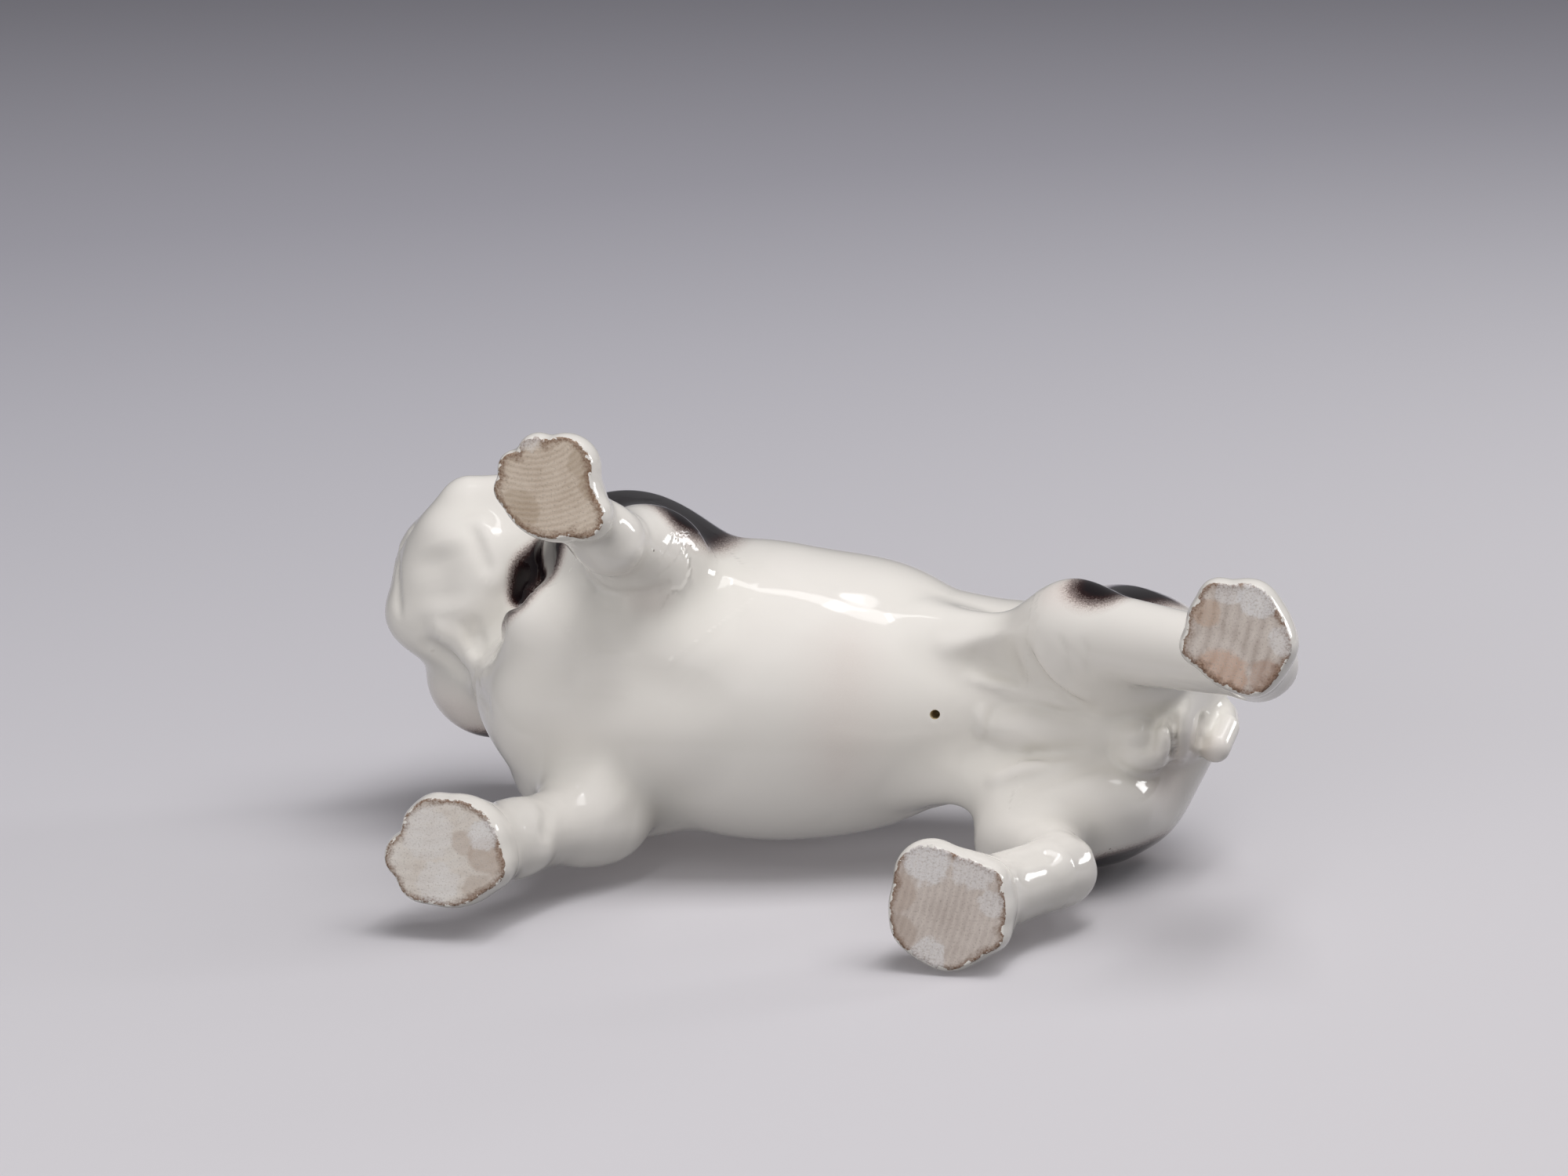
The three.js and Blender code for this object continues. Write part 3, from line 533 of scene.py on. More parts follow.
def model_skin():
    """Models the whole figure as one skin, and keeps it with what its glaze and paint need."""
    base, full = whole_dog(), whole_dog([stroke(*one) for one in STROKES])
    skin = remeshed(rough_clay(), ROUGH_GRID)
    largest_shell(skin)
    draw_onto(skin, base, passes=3, reach=1)
    skin = remeshed(skin, bpy.context.scene.dog_sizes.skin_grid / MM)
    draw_onto(skin, full, passes=4, reach=1.2)
    p = positions(skin)
    slope = slope_of(full, p)
    normals = slope / np.maximum(np.linalg.norm(slope, axis=1)[:, None], 1e-9)
    parts, smalls = castings(), small_lumps()
    depths = np.stack([np.min([part(p)] + [lump(p) for lump, _ in smalls.get(name, ())], axis=0)
                       for name, (part, _) in parts.items()])
    point_attribute(skin, "casting", depths.argmin(axis=0))
    point_attribute(skin, "surface_normal", normals, "FLOAT_VECTOR")
    # Crease depth: it tints the pooled glaze and paints shade into the creases
    point_attribute(skin, "crease_pool_and_shade", crease_pooling_and_shade(full, p, normals))
    point_attribute(skin, "dark", painted(p, DARK_PATCHES))
    point_attribute(skin, "blush", painted(p, BLUSHES))
    point_attribute(skin, "inset", np.clip(-depths.min(axis=0), 0, 12) * (p[:, 2] < 0.6))
    hold_in_box(skin)
    clay.update(skin=skin, names=list(parts), field=full)


def hold_in_box(mesh):
    """Presses the outermost clay evenly back into the solids' box, where the skin reaches past it."""
    solids = np.array([v.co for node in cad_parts.values() for v in node.data.vertices])
    points = np.array([v.co for v in mesh.vertices])
    for axis in range(3):
        for sign in (-1, 1):
            limit, reach = (sign * solids[:, axis]).max(), (sign * points[:, axis]).max()
            start = limit - PRESS_DEPTH
            beyond = sign * points[:, axis] > start
            if reach > limit:
                depth = (sign * points[beyond, axis] - start) * (limit - start) / (reach - start)
                points[beyond, axis] = sign * (start + depth)
    mesh.vertices.foreach_set("co", points.astype(np.float32).ravel())


def piece_of(name):
    """Cuts one casting out of the skin, closed inside the figure where it was luted on."""
    skin = clay["skin"]
    own = clay["names"].index(name)
    nearest = np.empty(len(skin.vertices), np.float32)
    skin.attributes["casting"].data.foreach_get("value", nearest)
    bm = bmesh.new()
    bm.from_mesh(skin)
    spare = []
    for face in bm.faces:
        votes = [nearest[v.index] for v in face.verts]
        if max(set(votes), key=lambda vote: (votes.count(vote), vote)) != own:
            spare.append(face)
    delete_faces(bm, spare)
    if name == "trunk":
        drill_vent(bm)
    rims = [edge for edge in bm.edges if edge.is_boundary]
    caps = bmesh.ops.holes_fill(bm, edges=rims, sides=0)["faces"]
    bmesh.ops.poke(bm, faces=caps, center_mode="MEAN")
    for face in bm.faces:
        face.smooth = True
    mesh = bpy.data.meshes.new(name)
    bm.to_mesh(mesh)
    bm.free()
    keep_normals(mesh)
    return placed(name + "_glazed", mesh)


def keep_normals(mesh):
    """Shades a casting by the clay's own normals, and its caps and vent by those of their faces."""
    normals = vectors(mesh.attributes["surface_normal"].data, "vector")
    bare = np.linalg.norm(normals, axis=1) < 0.5
    normals[bare] = vectors(mesh.vertex_normals, "vector")[bare]
    for name in ("surface_normal", "casting"):
        mesh.attributes.remove(mesh.attributes[name])
    mesh.normals_split_custom_set_from_vertices([tuple(n) for n in normals])


def drill_vent(bm):
    """Bores the vent: a round hole with a softened rim, 7 mm deep and closed at its end."""
    radius = bpy.context.scene.dog_sizes.vent_diameter / 2
    axis = Vector(in_frame((VENT_X, 0, 0)))

    def beside(point, margin):
        return point.z < BELLY_SIDE and (point.xy - axis.xy).length < radius + margin * MM

    near = [f for f in bm.faces if beside(f.calc_center_median(), 1.1)]
    bmesh.ops.delete(bm, geom=near, context="FACES")
    around = [e for e in bm.edges if e.is_boundary and all(beside(v.co, 3) for v in e.verts)]
    normal_layer = bm.verts.layers.float_vector["surface_normal"]
    ring = bmesh.ops.create_circle(bm, segments=32, radius=radius * 1.18,
                                   matrix=Matrix.Translation(axis))["verts"]
    flat = np.array([v.co for v in ring]) / MM - ORIGIN
    flat[:, 2] = BELLY_Z - 4
    for _ in range(12):
        flat[:, 2] += clay["field"](flat)
    for v, p in zip(ring, flat):
        v.co = Vector((p + ORIGIN) * MM)
        v[normal_layer] = Vector((0, 0, -1))
    edges = list(dict.fromkeys(e for v in ring for e in v.link_edges))
    bmesh.ops.bridge_loops(bm, edges=around + edges)
    for scale, depth in VENT_RINGS:
        out = bmesh.ops.extrude_edge_only(bm, edges=edges)["geom"]
        verts = [g for g in out if isinstance(g, bmesh.types.BMVert)]
        edges = [g for g in out if isinstance(g, bmesh.types.BMEdge) and all(v in verts for v in g.verts)]
        for g in out:
            if isinstance(g, bmesh.types.BMFace):
                g.material_index = 1
        for v in verts:
            v.co = Vector((axis.x + (v.co.x - axis.x) * scale, axis.y + (v.co.y - axis.y) * scale,
                           v.co.z + depth * MM))
            v[normal_layer] = Vector((0, 0, 0))
    for face in bmesh.ops.holes_fill(bm, edges=edges, sides=0)["faces"]:
        face.material_index = 1


# Paint

def painted(p, patches):
    """How much of some patches is at each point. Each is a shape, how far it fades and, if thin, its
    strength."""
    return np.max([smooth_step(0.5 - shape(p) / soft) * (strength[0] if strength else 1)
                   for shape, soft, *strength in patches], axis=0)


DARK_PATCHES = [
    # The saddle over the neck and shoulders
    (egg((-52, 4, 113), (20, 42, 24)), 8),
    # Its lobes on the left shoulder
    (egg((-50, -41, 81), (14, 11, 32)), 10),
    (egg((-37, -37, 67), (12, 9, 27), (0, -8, 0)), 10),
    # Behind the left cheek
    (roll((-68, -27, 63, 10), (-71.5, -15.5, 50, 6)), 8),
    (roll((-73, -24.5, 69, 5), (-76.5, -14, 72, 3.2)), 4),
    # The right side of the neck
    (egg((-60, 40, 96), (14, 12, 24)), 7),
    # The rump and hips
    (egg((70, 0, 108), (17, 34, 12)), 8),
    (roll((58, -33, 51, 6.5), (62, -33, 66, 7.5), (65, -33, 80, 9)), 9),
    (egg((67, 31, 76), (11, 9, 19), (0, 25, 0)), 9),
    # The eye patch on the right cheek
    (egg((-84, 29, 94), (13, 13, 17)), 10),
]
# Thin pinkish brown overspray
BLUSHES = [
    (egg((6, 0, 45), (7, 22, 10)), 16, 0.25),
    (egg((-39, -38, 56), (6, 5, 8)), 6, 0.4),
    (egg((52, -30, 50), (7, 4, 5)), 7, 0.35),
    (egg((79, 8, 66), (9, 9, 9)), 14, 0.4),
    (egg((-92, 18, 82), (11, 9, 10)), 12, 0.4),
    (egg((-37, -20, 37), (5, 4, 4)), 6, 0.2),
]

# Creases and ridges drawn in the clay with a tool: the points of each, its width and its height.
STROKES = [
    # Cheek ridge, crease and hollow
    ([(-91, -32, 75), (-85.5, -26, 69.5), (-82, -19, 68), (-79.5, -13, 68.5)], 3, 1),
    ([(-91, -30.5, 73), (-86.5, -25, 69), (-83.5, -20.5, 67.5), (-81, -16, 67.5)], 2.2, -1.1),
    ([(-97, -24.5, 69.5), (-94.5, -17, 66.5), (-92.5, -8.5, 66.5)], 6, -1.3),
    # Lip line
    ([(-109.5, -21, 82), (-107, -14.5, 74), (-105, -8.5, 71), (-103.5, -4, 70)], 1.3, -0.6),
    # Jowl fold and crease
    ([(-98, -3.5, 68.5), (-94, -4.5, 67.5), (-90, -3, 68), (-87, 0.5, 68.5), (-83, 3.5, 63.5)], 2.8, 1.3),
    ([(-100.5, -0.5, 70.5), (-96, -0.5, 69.5), (-92.5, 1.5, 70.5),
      (-89, 4.5, 71), (-84.5, 7, 66.5)], 2.2, -1.2),
    # Throat wrinkles and fold
    ([(-88.5, -8.5, 66), (-86.5, -4, 67.5), (-83, 1, 65)], 1.3, -0.5),
    ([(-86, -10, 66.5), (-84.5, -4.5, 67.5), (-82, 0, 63.5)], 1.3, -0.5),
    ([(-82, 5.5, 61), (-75, 8, 47.5), (-71.5, 12.5, 43.5)], 1.8, -0.6),
    # Collars of the neck and throat
    ([(-71, -25.5, 67), (-73, -20, 69.5), (-75, -16, 70), (-70, -14.5, 46.5), (-71, -11, 45.5)], 3.2, -4),
    ([(-71, -12, 46), (-73, -7.5, 47), (-78.5, -1.5, 59)], 1.8, -1.2),
    # Armpit crease
    ([(-56.5, -24, 46.5), (-49.5, -21.5, 38.5), (-41.5, -20.5, 35),
      (-35, -22, 36), (-31, -25.5, 39.5)], 2, -0.5),
    # Flank edge and hollow
    ([(20, -16, 56.5), (26, -15, 57), (32.5, -17, 57), (43.5, -21, 50)], 2.4, 0.8),
    ([(27, -12.5, 56.5), (35.5, -12, 58), (44, -12.5, 53)], 5, -0.9),
    # Groin fold
    ([(27.5, -7.5, 56), (31.5, -8.5, 57), (42, -6.5, 58), (50.5, -6, 55.5), (60, -4.5, 55)], 1.8, 1.3),
    # Thigh crease, edge and arcs
    ([(43, -20, 51), (45, -15.5, 50.5), (48.5, -10, 52.5), (54, -6.5, 54), (61.5, -3, 56.5)], 2.2, -1.2),
    ([(45, -20.5, 48.5), (47.5, -15.5, 48.5), (51.5, -10.5, 50.5),
      (56.5, -7.5, 53), (60.5, -6, 54)], 1.8, 0.9),
    ([(50.5, -22.5, 46), (54, -17, 45.5), (56, -10.5, 49.5)], 1.2, -0.25),
    ([(56.5, -22.5, 44), (58.5, -17, 44), (59.5, -11, 48.5)], 1.2, -0.25),
    # Right groin edge and crease
    ([(36.5, 14.5, 55), (43, 10.5, 53), (52, 7.5, 53)], 1.8, 1),
    ([(39.5, 16.5, 52), (45, 12.5, 50.5), (53.5, 9.5, 51), (61, 6.5, 55), (68, 8, 56.5)], 2.6, -1.2),
    # Sheath crease
    ([(42, 7.5, 55.5), (51, 6, 54.5), (60.5, 4, 56.5)], 1.6, -0.8),
    # Perineum ridge and crease
    ([(74, -3, 60), (75, 0.5, 58), (74.5, 5, 58.5)], 1.8, 0.9),
    ([(76, -6, 61.5), (76.5, -1, 60), (77, 5, 65)], 1.8, -0.9),
    # Root of the tail
    ([(81, -5.5, 72), (80.5, -1, 70.5), (82, 3.5, 70.5)], 1.6, -0.9),
    # Right elbow and pastern
    ([(-49.5, 18, 37.5), (-43.5, 22, 37), (-38.5, 29, 39)], 4, 0.5),
    ([(-53, 25, 24), (-50.5, 28.5, 18.5), (-50.5, 33, 15.5)], 2, -0.6),
    # Sternum
    ([(-56, -1, 38.5), (-47, -2.5, 38), (-37.5, -3, 38.5)], 6, 0.8),
    # Hock crease and ridge
    ([(51, 24, 14), (54.5, 23.5, 21), (59, 22, 27)], 2.2, -0.8),
    ([(59, 21, 44.5), (64, 23, 34.5), (65.5, 27, 33.5)], 1.6, 0.6),
    # Groove of the lip, left lip and right lip
    ([(-112, -20, 90.5), (-112, -20, 87.5), (-110.5, -19.5, 83.5)], 0.9, -0.8),
    ([(-110.5, -19.5, 83.5), (-108, -24, 81), (-105, -28, 80.5)], 1.1, -0.5),
    ([(-110.5, -19.5, 83.5), (-110.5, -14, 81), (-111, -9, 80.5), (-110, -3, 80.5)], 1.1, -0.9),
    # Nostrils
    ([(-109, -21.5, 96), (-107.5, -22, 96.5)], 1, -1.1),
    ([(-110, -16.5, 96), (-109.5, -15, 96.5)], 1, -1.1),
]


# Materials

RING_SPACING = 314      # millimetres between the rings of a wave texture of scale 1
GLAZE_ROUGHNESS = 0.07


def linear(colour):
    """An sRGB hex colour as linear RGBA."""
    parts = [int(colour[i:i + 2], 16) / 255 for i in (1, 3, 5)]
    return (*[c / 12.92 if c <= 0.04045 else ((c + 0.055) / 1.055) ** 2.4 for c in parts], 1)


def add(tree, kind, inputs=None, **settings):
    """Adds a node with its settings. Inputs maps a socket's name or number to a value or a linked output."""
    one = tree.nodes.new("ShaderNode" + kind)
    for name, value in settings.items():
        setattr(one, name, value)
    for key, value in (inputs or {}).items():
        if isinstance(value, bpy.types.NodeSocket):
            tree.links.new(value, one.inputs[key])
        else:
            one.inputs[key].default_value = value
    return one


def new_material(name):
    """A material with its empty node tree and the places on the object that wears it."""
    material = bpy.data.materials.new(name)
    material.use_nodes = True
    tree = material.node_tree
    tree.nodes.clear()
    return material, tree, add(tree, "TexCoord").outputs["Object"]


def mixed(tree, amount, a, b):
    """Two colours mixed by an amount, which is a number or an output."""
    return add(tree, "Mix", {0: amount, 6: a, 7: b}, data_type="RGBA").outputs[2]


def maths(tree, operation, *values):
    return add(tree, "Math", dict(enumerate(values)), operation=operation).outputs[0]


def times(tree, a, b):
    return maths(tree, "MULTIPLY", a, b)


def plus(tree, a, b):
    return maths(tree, "ADD", a, b)


def distance(tree, place, point):
    return add(tree, "VectorMath", {0: place, 1: point}, operation="DISTANCE").outputs["Value"]


def attribute(tree, name):
    """A number that the skin keeps at its vertices."""
    return add(tree, "Attribute", attribute_name=name).outputs["Fac"]


def ramp(tree, value, *stops):
    """A colour ramp over a value, each stop a place and a hex colour, a linear one or a grey."""
    one = add(tree, "ValToRGB", {"Fac": value})
    elements = one.color_ramp.elements
    while len(elements) < len(stops):
        elements.new(0.5)
    for element, (place, colour) in zip(elements, stops):
        if isinstance(colour, str):
            colour = linear(colour)
        element.position = place
        element.color = colour if isinstance(colour, tuple) else (colour, colour, colour, 1)
    return one.outputs["Color"]


def grains(tree, place, size, detail=2, roughness=0.5):
    """Noise whose grains are about size millimetres across."""
    return add(tree, "TexNoise", {"Vector": place, "Scale": 1000 / size, "Detail": detail,
                                  "Roughness": roughness}).outputs["Fac"]


def specks(tree, place, spacing, size, share):
    """Round specks of size millimetres, in a share of the cells of a grid of spacing millimetres."""
    cells = add(tree, "TexVoronoi", {"Vector": place, "Scale": 1000 / spacing})
    near = maths(tree, "LESS_THAN", cells.outputs["Distance"], size / 2 / spacing)
    chosen = add(tree, "SeparateColor", {0: cells.outputs["Color"]}).outputs[0]
    return times(tree, near, maths(tree, "LESS_THAN", chosen, share))


def surfaced(tree, colour, rough, height, strength, depth):
    """Ends a material with a surface whose height shows as a bump, depth millimetres deep."""
    bump = add(tree, "Bump", {"Strength": strength, "Distance": depth * MM, "Height": height})
    shader = add(tree, "BsdfPrincipled", {"Base Color": colour, "Roughness": rough, "IOR": 1.5,
                                          "Normal": bump.outputs["Normal"]})
    add(tree, "OutputMaterial", {"Surface": shader.outputs[0]})


def glazed_white_earthenware(name, paint=None, sole=None):
    """White earthenware, airbrushed under a clear glossy glaze. The glaze pools grey-green in the creases,
    and that darker tint also paints shade into them; the paint's edges are speckled, and there are a few
    pinholes and iron specks. A sole's clay is bare."""
    colours = bpy.context.scene.dog_colours
    material, tree, place = new_material(name)
    white = mixed(tree, grains(tree, place, 26, 3), linear("#EAE5DF"), (*colours.glaze, 1))
    # Darker grey-green in the creases: partly the pooled glaze's tint, partly painted crease shade
    white = mixed(tree, times(tree, attribute(tree, "crease_pool_and_shade"), 0.5), white, (*colours.pooled_glaze_and_crease_shade, 1))
    spray = grains(tree, place, 0.35, 2, 0.7)
    mist = times(tree, attribute(tree, "blush"), plus(tree, times(tree, spray, 0.5), 0.2))
    colour = mixed(tree, mist, white, linear("#B98F86"))
    dark = attribute(tree, "dark")
    speckled = ramp(tree, dark, (0.03, 0), (0.25, 0.7), (0.75, 0.7), (1, 0.1))
    edge = plus(tree, dark, times(tree, maths(tree, "SUBTRACT", spray, 0.5), speckled))
    cover = ramp(tree, edge, (0.04, 0), (0.25, 0.2), (0.5, 0.72), (0.8, 1))
    brown = ramp(tree, edge, (0.2, "#946B60"), (0.55, "#482C28"), (0.95, (*colours.paint, 1)))
    colour = mixed(tree, cover, colour, brown)
    pits = specks(tree, place, 11, 0.55, 0.22)
    colour = mixed(tree, times(tree, pits, 0.8), colour, linear("#5A4B42"))
    iron = specks(tree, place, 23, 1, 0.15)
    colour = mixed(tree, times(tree, iron, 0.5), colour, linear("#C98448"))
    if paint:
        colour = paint(tree, place, colour)
    rough, height = GLAZE_ROUGHNESS, grains(tree, place, 7, 1)
    if sole:
        colour, rough, grit = bare_sole(tree, place, colour, sole)
        height = plus(tree, height, grit)
    surfaced(tree, colour, rough, height, 0.10, 0.5)
    return material


def spot(tree, place, centre, radius, ragged):
    """How much of a spot on the ground is at each point: 1 within a radius, with a ragged edge."""
    reach = plus(tree, times(tree, ragged, radius * MM), 0.5 * radius * MM)
    share = maths(tree, "DIVIDE", distance(tree, place, in_frame((*centre, 0))), reach)
    return ramp(tree, share, (0.8, 1), (1, 0))


def bare_sole(tree, place, glaze, sole):
    """The bare clay under a paw: wiped with a brush in arcs, brown and ragged at its rim, with bits of glaze.
    Returns the colour with the sole in it, the roughness and the grit."""
    centre, spacing, contrast, tones, stains, bits, rim_width = sole
    inset = attribute(tree, "inset")
    height = add(tree, "SeparateXYZ", {0: place}).outputs["Z"]
    ragged = grains(tree, place, 2.2, 3, 0.6)
    coarse = grains(tree, place, 6, 3, 0.6)
    fine = grains(tree, place, 0.45, 3, 0.7)
    low = maths(tree, "LESS_THAN", height, times(tree, ragged, 0.8 * MM))
    chips = times(tree, maths(tree, "SUBTRACT", ragged, 0.5), 3.5)
    bare = times(tree, low, maths(tree, "GREATER_THAN", inset, chips))

    def over(amount, strength, tone):
        return mixed(tree, times(tree, amount, strength), colour, linear(tone))

    centred = add(tree, "VectorMath", {0: place, 1: in_frame((*centre, 0))},
                  operation="SUBTRACT").outputs["Vector"]
    arcs = add(tree, "TexWave", {"Vector": centred, "Scale": RING_SPACING / spacing, "Distortion": 2.2,
                                 "Detail": 4, "Detail Scale": 2.5, "Detail Roughness": 0.75},
               wave_type="RINGS", rings_direction="Z").outputs["Fac"]
    colour = mixed(tree, ramp(tree, coarse, (0.3, 0), (0.7, 1)), linear(tones[0]), linear(tones[1]))
    # The brush's streaks, dark between the arcs and light on them
    dips = ramp(tree, arcs, (0, 1), (0.5, 0), (1, 0))
    patchy = ramp(tree, coarse, (0.35, 0.3), (0.65, 1))
    colour = over(times(tree, dips, patchy), contrast, tones[2])
    colour = over(ramp(tree, arcs, (0.72, 0), (1, 1)), 0.2, "#E6DCD0")
    for middle, radius, tone, strength in stains:
        colour = over(spot(tree, place, middle, radius, coarse),
                      ramp(tree, fine, (0.36, 0.25), (0.6, strength)), tone)
    # Pores, the rim and pits
    colour = over(ramp(tree, fine, (0.3, 1), (0.46, 0)), 0.4, "#5F4C40")
    width = times(tree, ramp(tree, ragged, (0.3, 0.25), (0.7, 1)), rim_width)
    rim = ramp(tree, maths(tree, "DIVIDE", inset, width), (0.3, 0.95), (1, 0))
    colour = over(rim, ramp(tree, fine, (0.4, 1), (0.62, 0.45)), "#7A5B45")
    colour = over(specks(tree, place, 4.5, 0.7, 0.3), 0.7, "#6B4A3C")
    for middle, radius, strength in bits:
        colour = over(spot(tree, place, middle, radius, ragged),
                      ramp(tree, fine, (0.36, 0.4 * strength), (0.56, strength)), "#E9E7E8")
    rough = plus(tree, times(tree, bare, 0.78), GLAZE_ROUGHNESS)
    grit = plus(tree, times(tree, fine, 1.6), times(tree, arcs, 0.8))
    return mixed(tree, bare, glaze, colour), rough, times(tree, grit, bare)


# Each is the middle of the brush's arcs, their spacing and contrast, the clay's tones, stains as place,
# radius, tone and strength, bits of glaze as place, radius and strength, and the width of the brown rim.
SOLES = {
    "left_front_leg": (
        (-56, -62), 1.2, 0.3, ("#DACAB9", "#CBB9A7", "#A3907C"),
        [((-57, -39), 5, "#9A8264", 0.35), ((-41, -46), 3.5, "#9A8268", 0.5),
         ((-44, -50), 3.5, "#A08A70", 0.4)],
        [((-56, -54.5), 3.2, 0.5)], 2.6,
    ),
    "right_front_leg": (
        (-75, 10), 2.6, 0.15, ("#E3DCD5", "#D8CDC3", "#BEB0A2"),
        [((-57.5, 34), 4.5, "#A98F7C", 0.5), ((-59, 41), 3.5, "#A68E7A", 0.4),
         ((-63, 32), 3, "#A98F7C", 0.35)],
        [((-59, 30), 3.5, 0.6), ((-71, 31), 6, 0.35), ((-68, 41), 5, 0.4)], 2.2,
    ),
    "left_hind_leg": (
        (52, -36), 2.5, 0.4, ("#D9CEC6", "#C6B9B0", "#9A897E"),
        [((92, -21), 6, "#CC9A78", 0.5), ((88, -33), 3, "#C29A78", 0.4), ((101, -21), 4, "#A87C62", 0.5)],
        [((98, -37), 4.5, 0.7), ((92, -37.5), 3, 0.5), ((104, -29), 3.5, 0.5)], 2.6,
    ),
    "right_hind_leg": (
        (-30, 20), 1.5, 0.25, ("#D2C6BE", "#C3B6AE", "#A5968D"),
        [((31, 31), 4, "#A98F7C", 0.35), ((32, 39), 3.5, "#A28A78", 0.4)],
        [((36, 23.5), 5.5, 0.7), ((46, 24), 5, 0.55), ((50, 31), 3, 0.5), ((38, 43), 4, 0.6)], 2,
    ),
}


def painted_face(tree, place, colour):
    """The eyes and the nose, brushed on under the glaze."""
    for side in (-1, 1):
        front = head_point((EYE_X - 3.2, side * (EYE_SPACING / 2 + 1.5), EYE_Z - 0.3))
        ring = times(tree, distance(tree, place, front), 1 / (6 * MM))
        eye = ramp(tree, ring, (0, "#070506"), (0.24, "#0B0708"), (0.27, "#5A2E17"), (0.44, "#7A431F"),
                   (0.47, "#1A1010"), (0.56, "#1A1010"))
        colour = mixed(tree, maths(tree, "LESS_THAN", ring, 0.56), colour, eye)
    away = distance(tree, place, head_point((MUZZLE_FRONT_X + 4, 0, EYE_Z - 5)))
    ragged = plus(tree, times(tree, away, 1 / (10 * MM)), times(tree, grains(tree, place, 1.2), 0.12))
    return mixed(tree, ramp(tree, ragged, (0.72, 1), (0.86, 0)), colour, linear("#191214"))


def in_frame(point):
    """A point of the clay in the frame's metres."""
    return tuple((value + start) * MM for value, start in zip(point, ORIGIN))


def head_point(point):
    """A point of the straight head, in the frame's metres, after the head's turn."""
    x, y = point[0] - HEAD_PIVOT_X, point[1]
    return in_frame((HEAD_PIVOT_X + HEAD_COS * x - HEAD_SIN * y, HEAD_SIN * x + HEAD_COS * y, point[2]))


def raw_earthenware():
    """Unglazed earthenware inside the vent: cream and dull, and dark only in its depth."""
    material, tree, place = new_material("raw_earthenware")
    colour = mixed(tree, grains(tree, place, 0.6, 3, 0.6), linear("#C9B68E"), linear("#A8956F"))
    surfaced(tree, colour, 0.9, grains(tree, place, 0.4, 3), 0.3, 0.2)
    return material


# Stage. In the photograph's view the figure has toppled onto its right side, and the camera faces its soles.

CAMERA_PLACE = Vector((0.18417, -0.09422, -0.7800))
CAMERA_RIGHT = Vector((0.9690, -0.0868, 0.2315))
CAMERA_UP = Vector((-0.1045, -0.9924, 0.0650))
CAMERA_BACK = Vector((0.2241, -0.0872, -0.9707))
TABLE_UP = Vector((-0.062, -0.986, -0.150)).normalized()
FLOOR_GAP = 0.1 * MM  # keeps the floor out of the soles' plane
FIGURE_MIDDLE = Vector((0, 0, 0.06))
# Each lamp's place from the figure's middle, its first side's direction, both along the table's right, up and
# near, its sides and its power.
LAMPS = {
    "overhead strip": ((0.17, 1.15, 0.4), (0.46, 0, -1), (1.64, 0.15), 4),
    "overhead softbox": ((1, 2.9, 0.3), (1, 0, 0), (2.8, 2.1), 60),
    "front softbox": ((0.3, 0.9, 2.2), (1, 0, 0), (2.2, 1.4), 3.5),
    "left window": ((-0.65, 0.28, 0.97), (1, 0, 0), (1.3, 0.26), 4.8),
    "right window": ((1.1, 0.38, -0.42), (0, 0, 1), (0.22, 0.35), 2.2),
    "table bounce": ((0, -0.6, 0.3), (1, 0, 0), (1.6, 1.2), 1.2),
}


def table_axes():
    """The table's directions in the photograph's view: to the camera's right, up, and towards the camera."""
    right = (CAMERA_RIGHT - TABLE_UP * CAMERA_RIGHT.dot(TABLE_UP)).normalized()
    return right, TABLE_UP, right.cross(TABLE_UP)


def table_height():
    """How far the table lies along TABLE_UP: it touches the figure's right side."""
    return min(TABLE_UP.dot(v.co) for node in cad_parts.values() for v in node.data.vertices)


def facing(place, right, up, back):
    """The matrix that puts an object in its place, with its axes along three directions."""
    return Matrix.Translation(place) @ Matrix((right, up, back)).transposed().to_4x4()


def one_sided(name, colour_of):
    """A matt paper surface that shows only from its front, so that it hides nothing from the other views."""
    material, tree, place = new_material(name)
    matt = add(tree, "BsdfDiffuse", {"Color": colour_of(tree, place)}).outputs[0]
    clear = add(tree, "BsdfTransparent").outputs[0]
    path = add(tree, "LightPath")
    seen = maths(tree, "MAXIMUM", path.outputs["Is Camera Ray"], path.outputs["Is Glossy Ray"])
    seen = maths(tree, "MAXIMUM", seen, path.outputs["Is Transmission Ray"])
    front = maths(tree, "SUBTRACT", 1, add(tree, "NewGeometry").outputs["Backfacing"])
    shader = add(tree, "MixShader", {0: times(tree, seen, front), 1: clear, 2: matt})
    add(tree, "OutputMaterial", {"Surface": shader.outputs[0]})
    return material


def table_colour_with_painted_falloff(tree, place):
    """Pale paper, with painted shade that makes it a little darker and cooler towards its far left."""
    right, _, near = (
        add(tree, "VectorMath", {0: place, 1: tuple(axis)}, operation="DOT_PRODUCT").outputs["Value"]
        for axis in table_axes())
    # Painted shade: the paper darkens away from the camera and towards the left, as the light falls off
    far = maths(tree, "SUBTRACT", times(tree, near, -0.5), times(tree, right, 0.35))
    return ramp(tree, plus(tree, far, 0.3),
                (0, "#D3CFD2"), (0.35, "#D0CDD1"), (0.7, "#CAC8CF"), (1, "#C2C0C9"))


def floor_colour(tree, place):
    """Pale paper."""
    return mixed(tree, grains(tree, place, 400, 1), linear("#D9D7DA"), linear("#DFDDE0"))


def lamp(name, place, along, size, power):
    """A rectangular softbox that faces the figure, its first side lying along a direction."""
    light = bpy.data.lights.new(name, "AREA")
    light.shape = "RECTANGLE"
    light.size, light.size_y = size
    light.energy = power
    back = (place - FIGURE_MIDDLE).normalized()
    side = (along - back * along.dot(back)).normalized()
    placed(name, light).matrix_world = facing(place, side, back.cross(side), back)


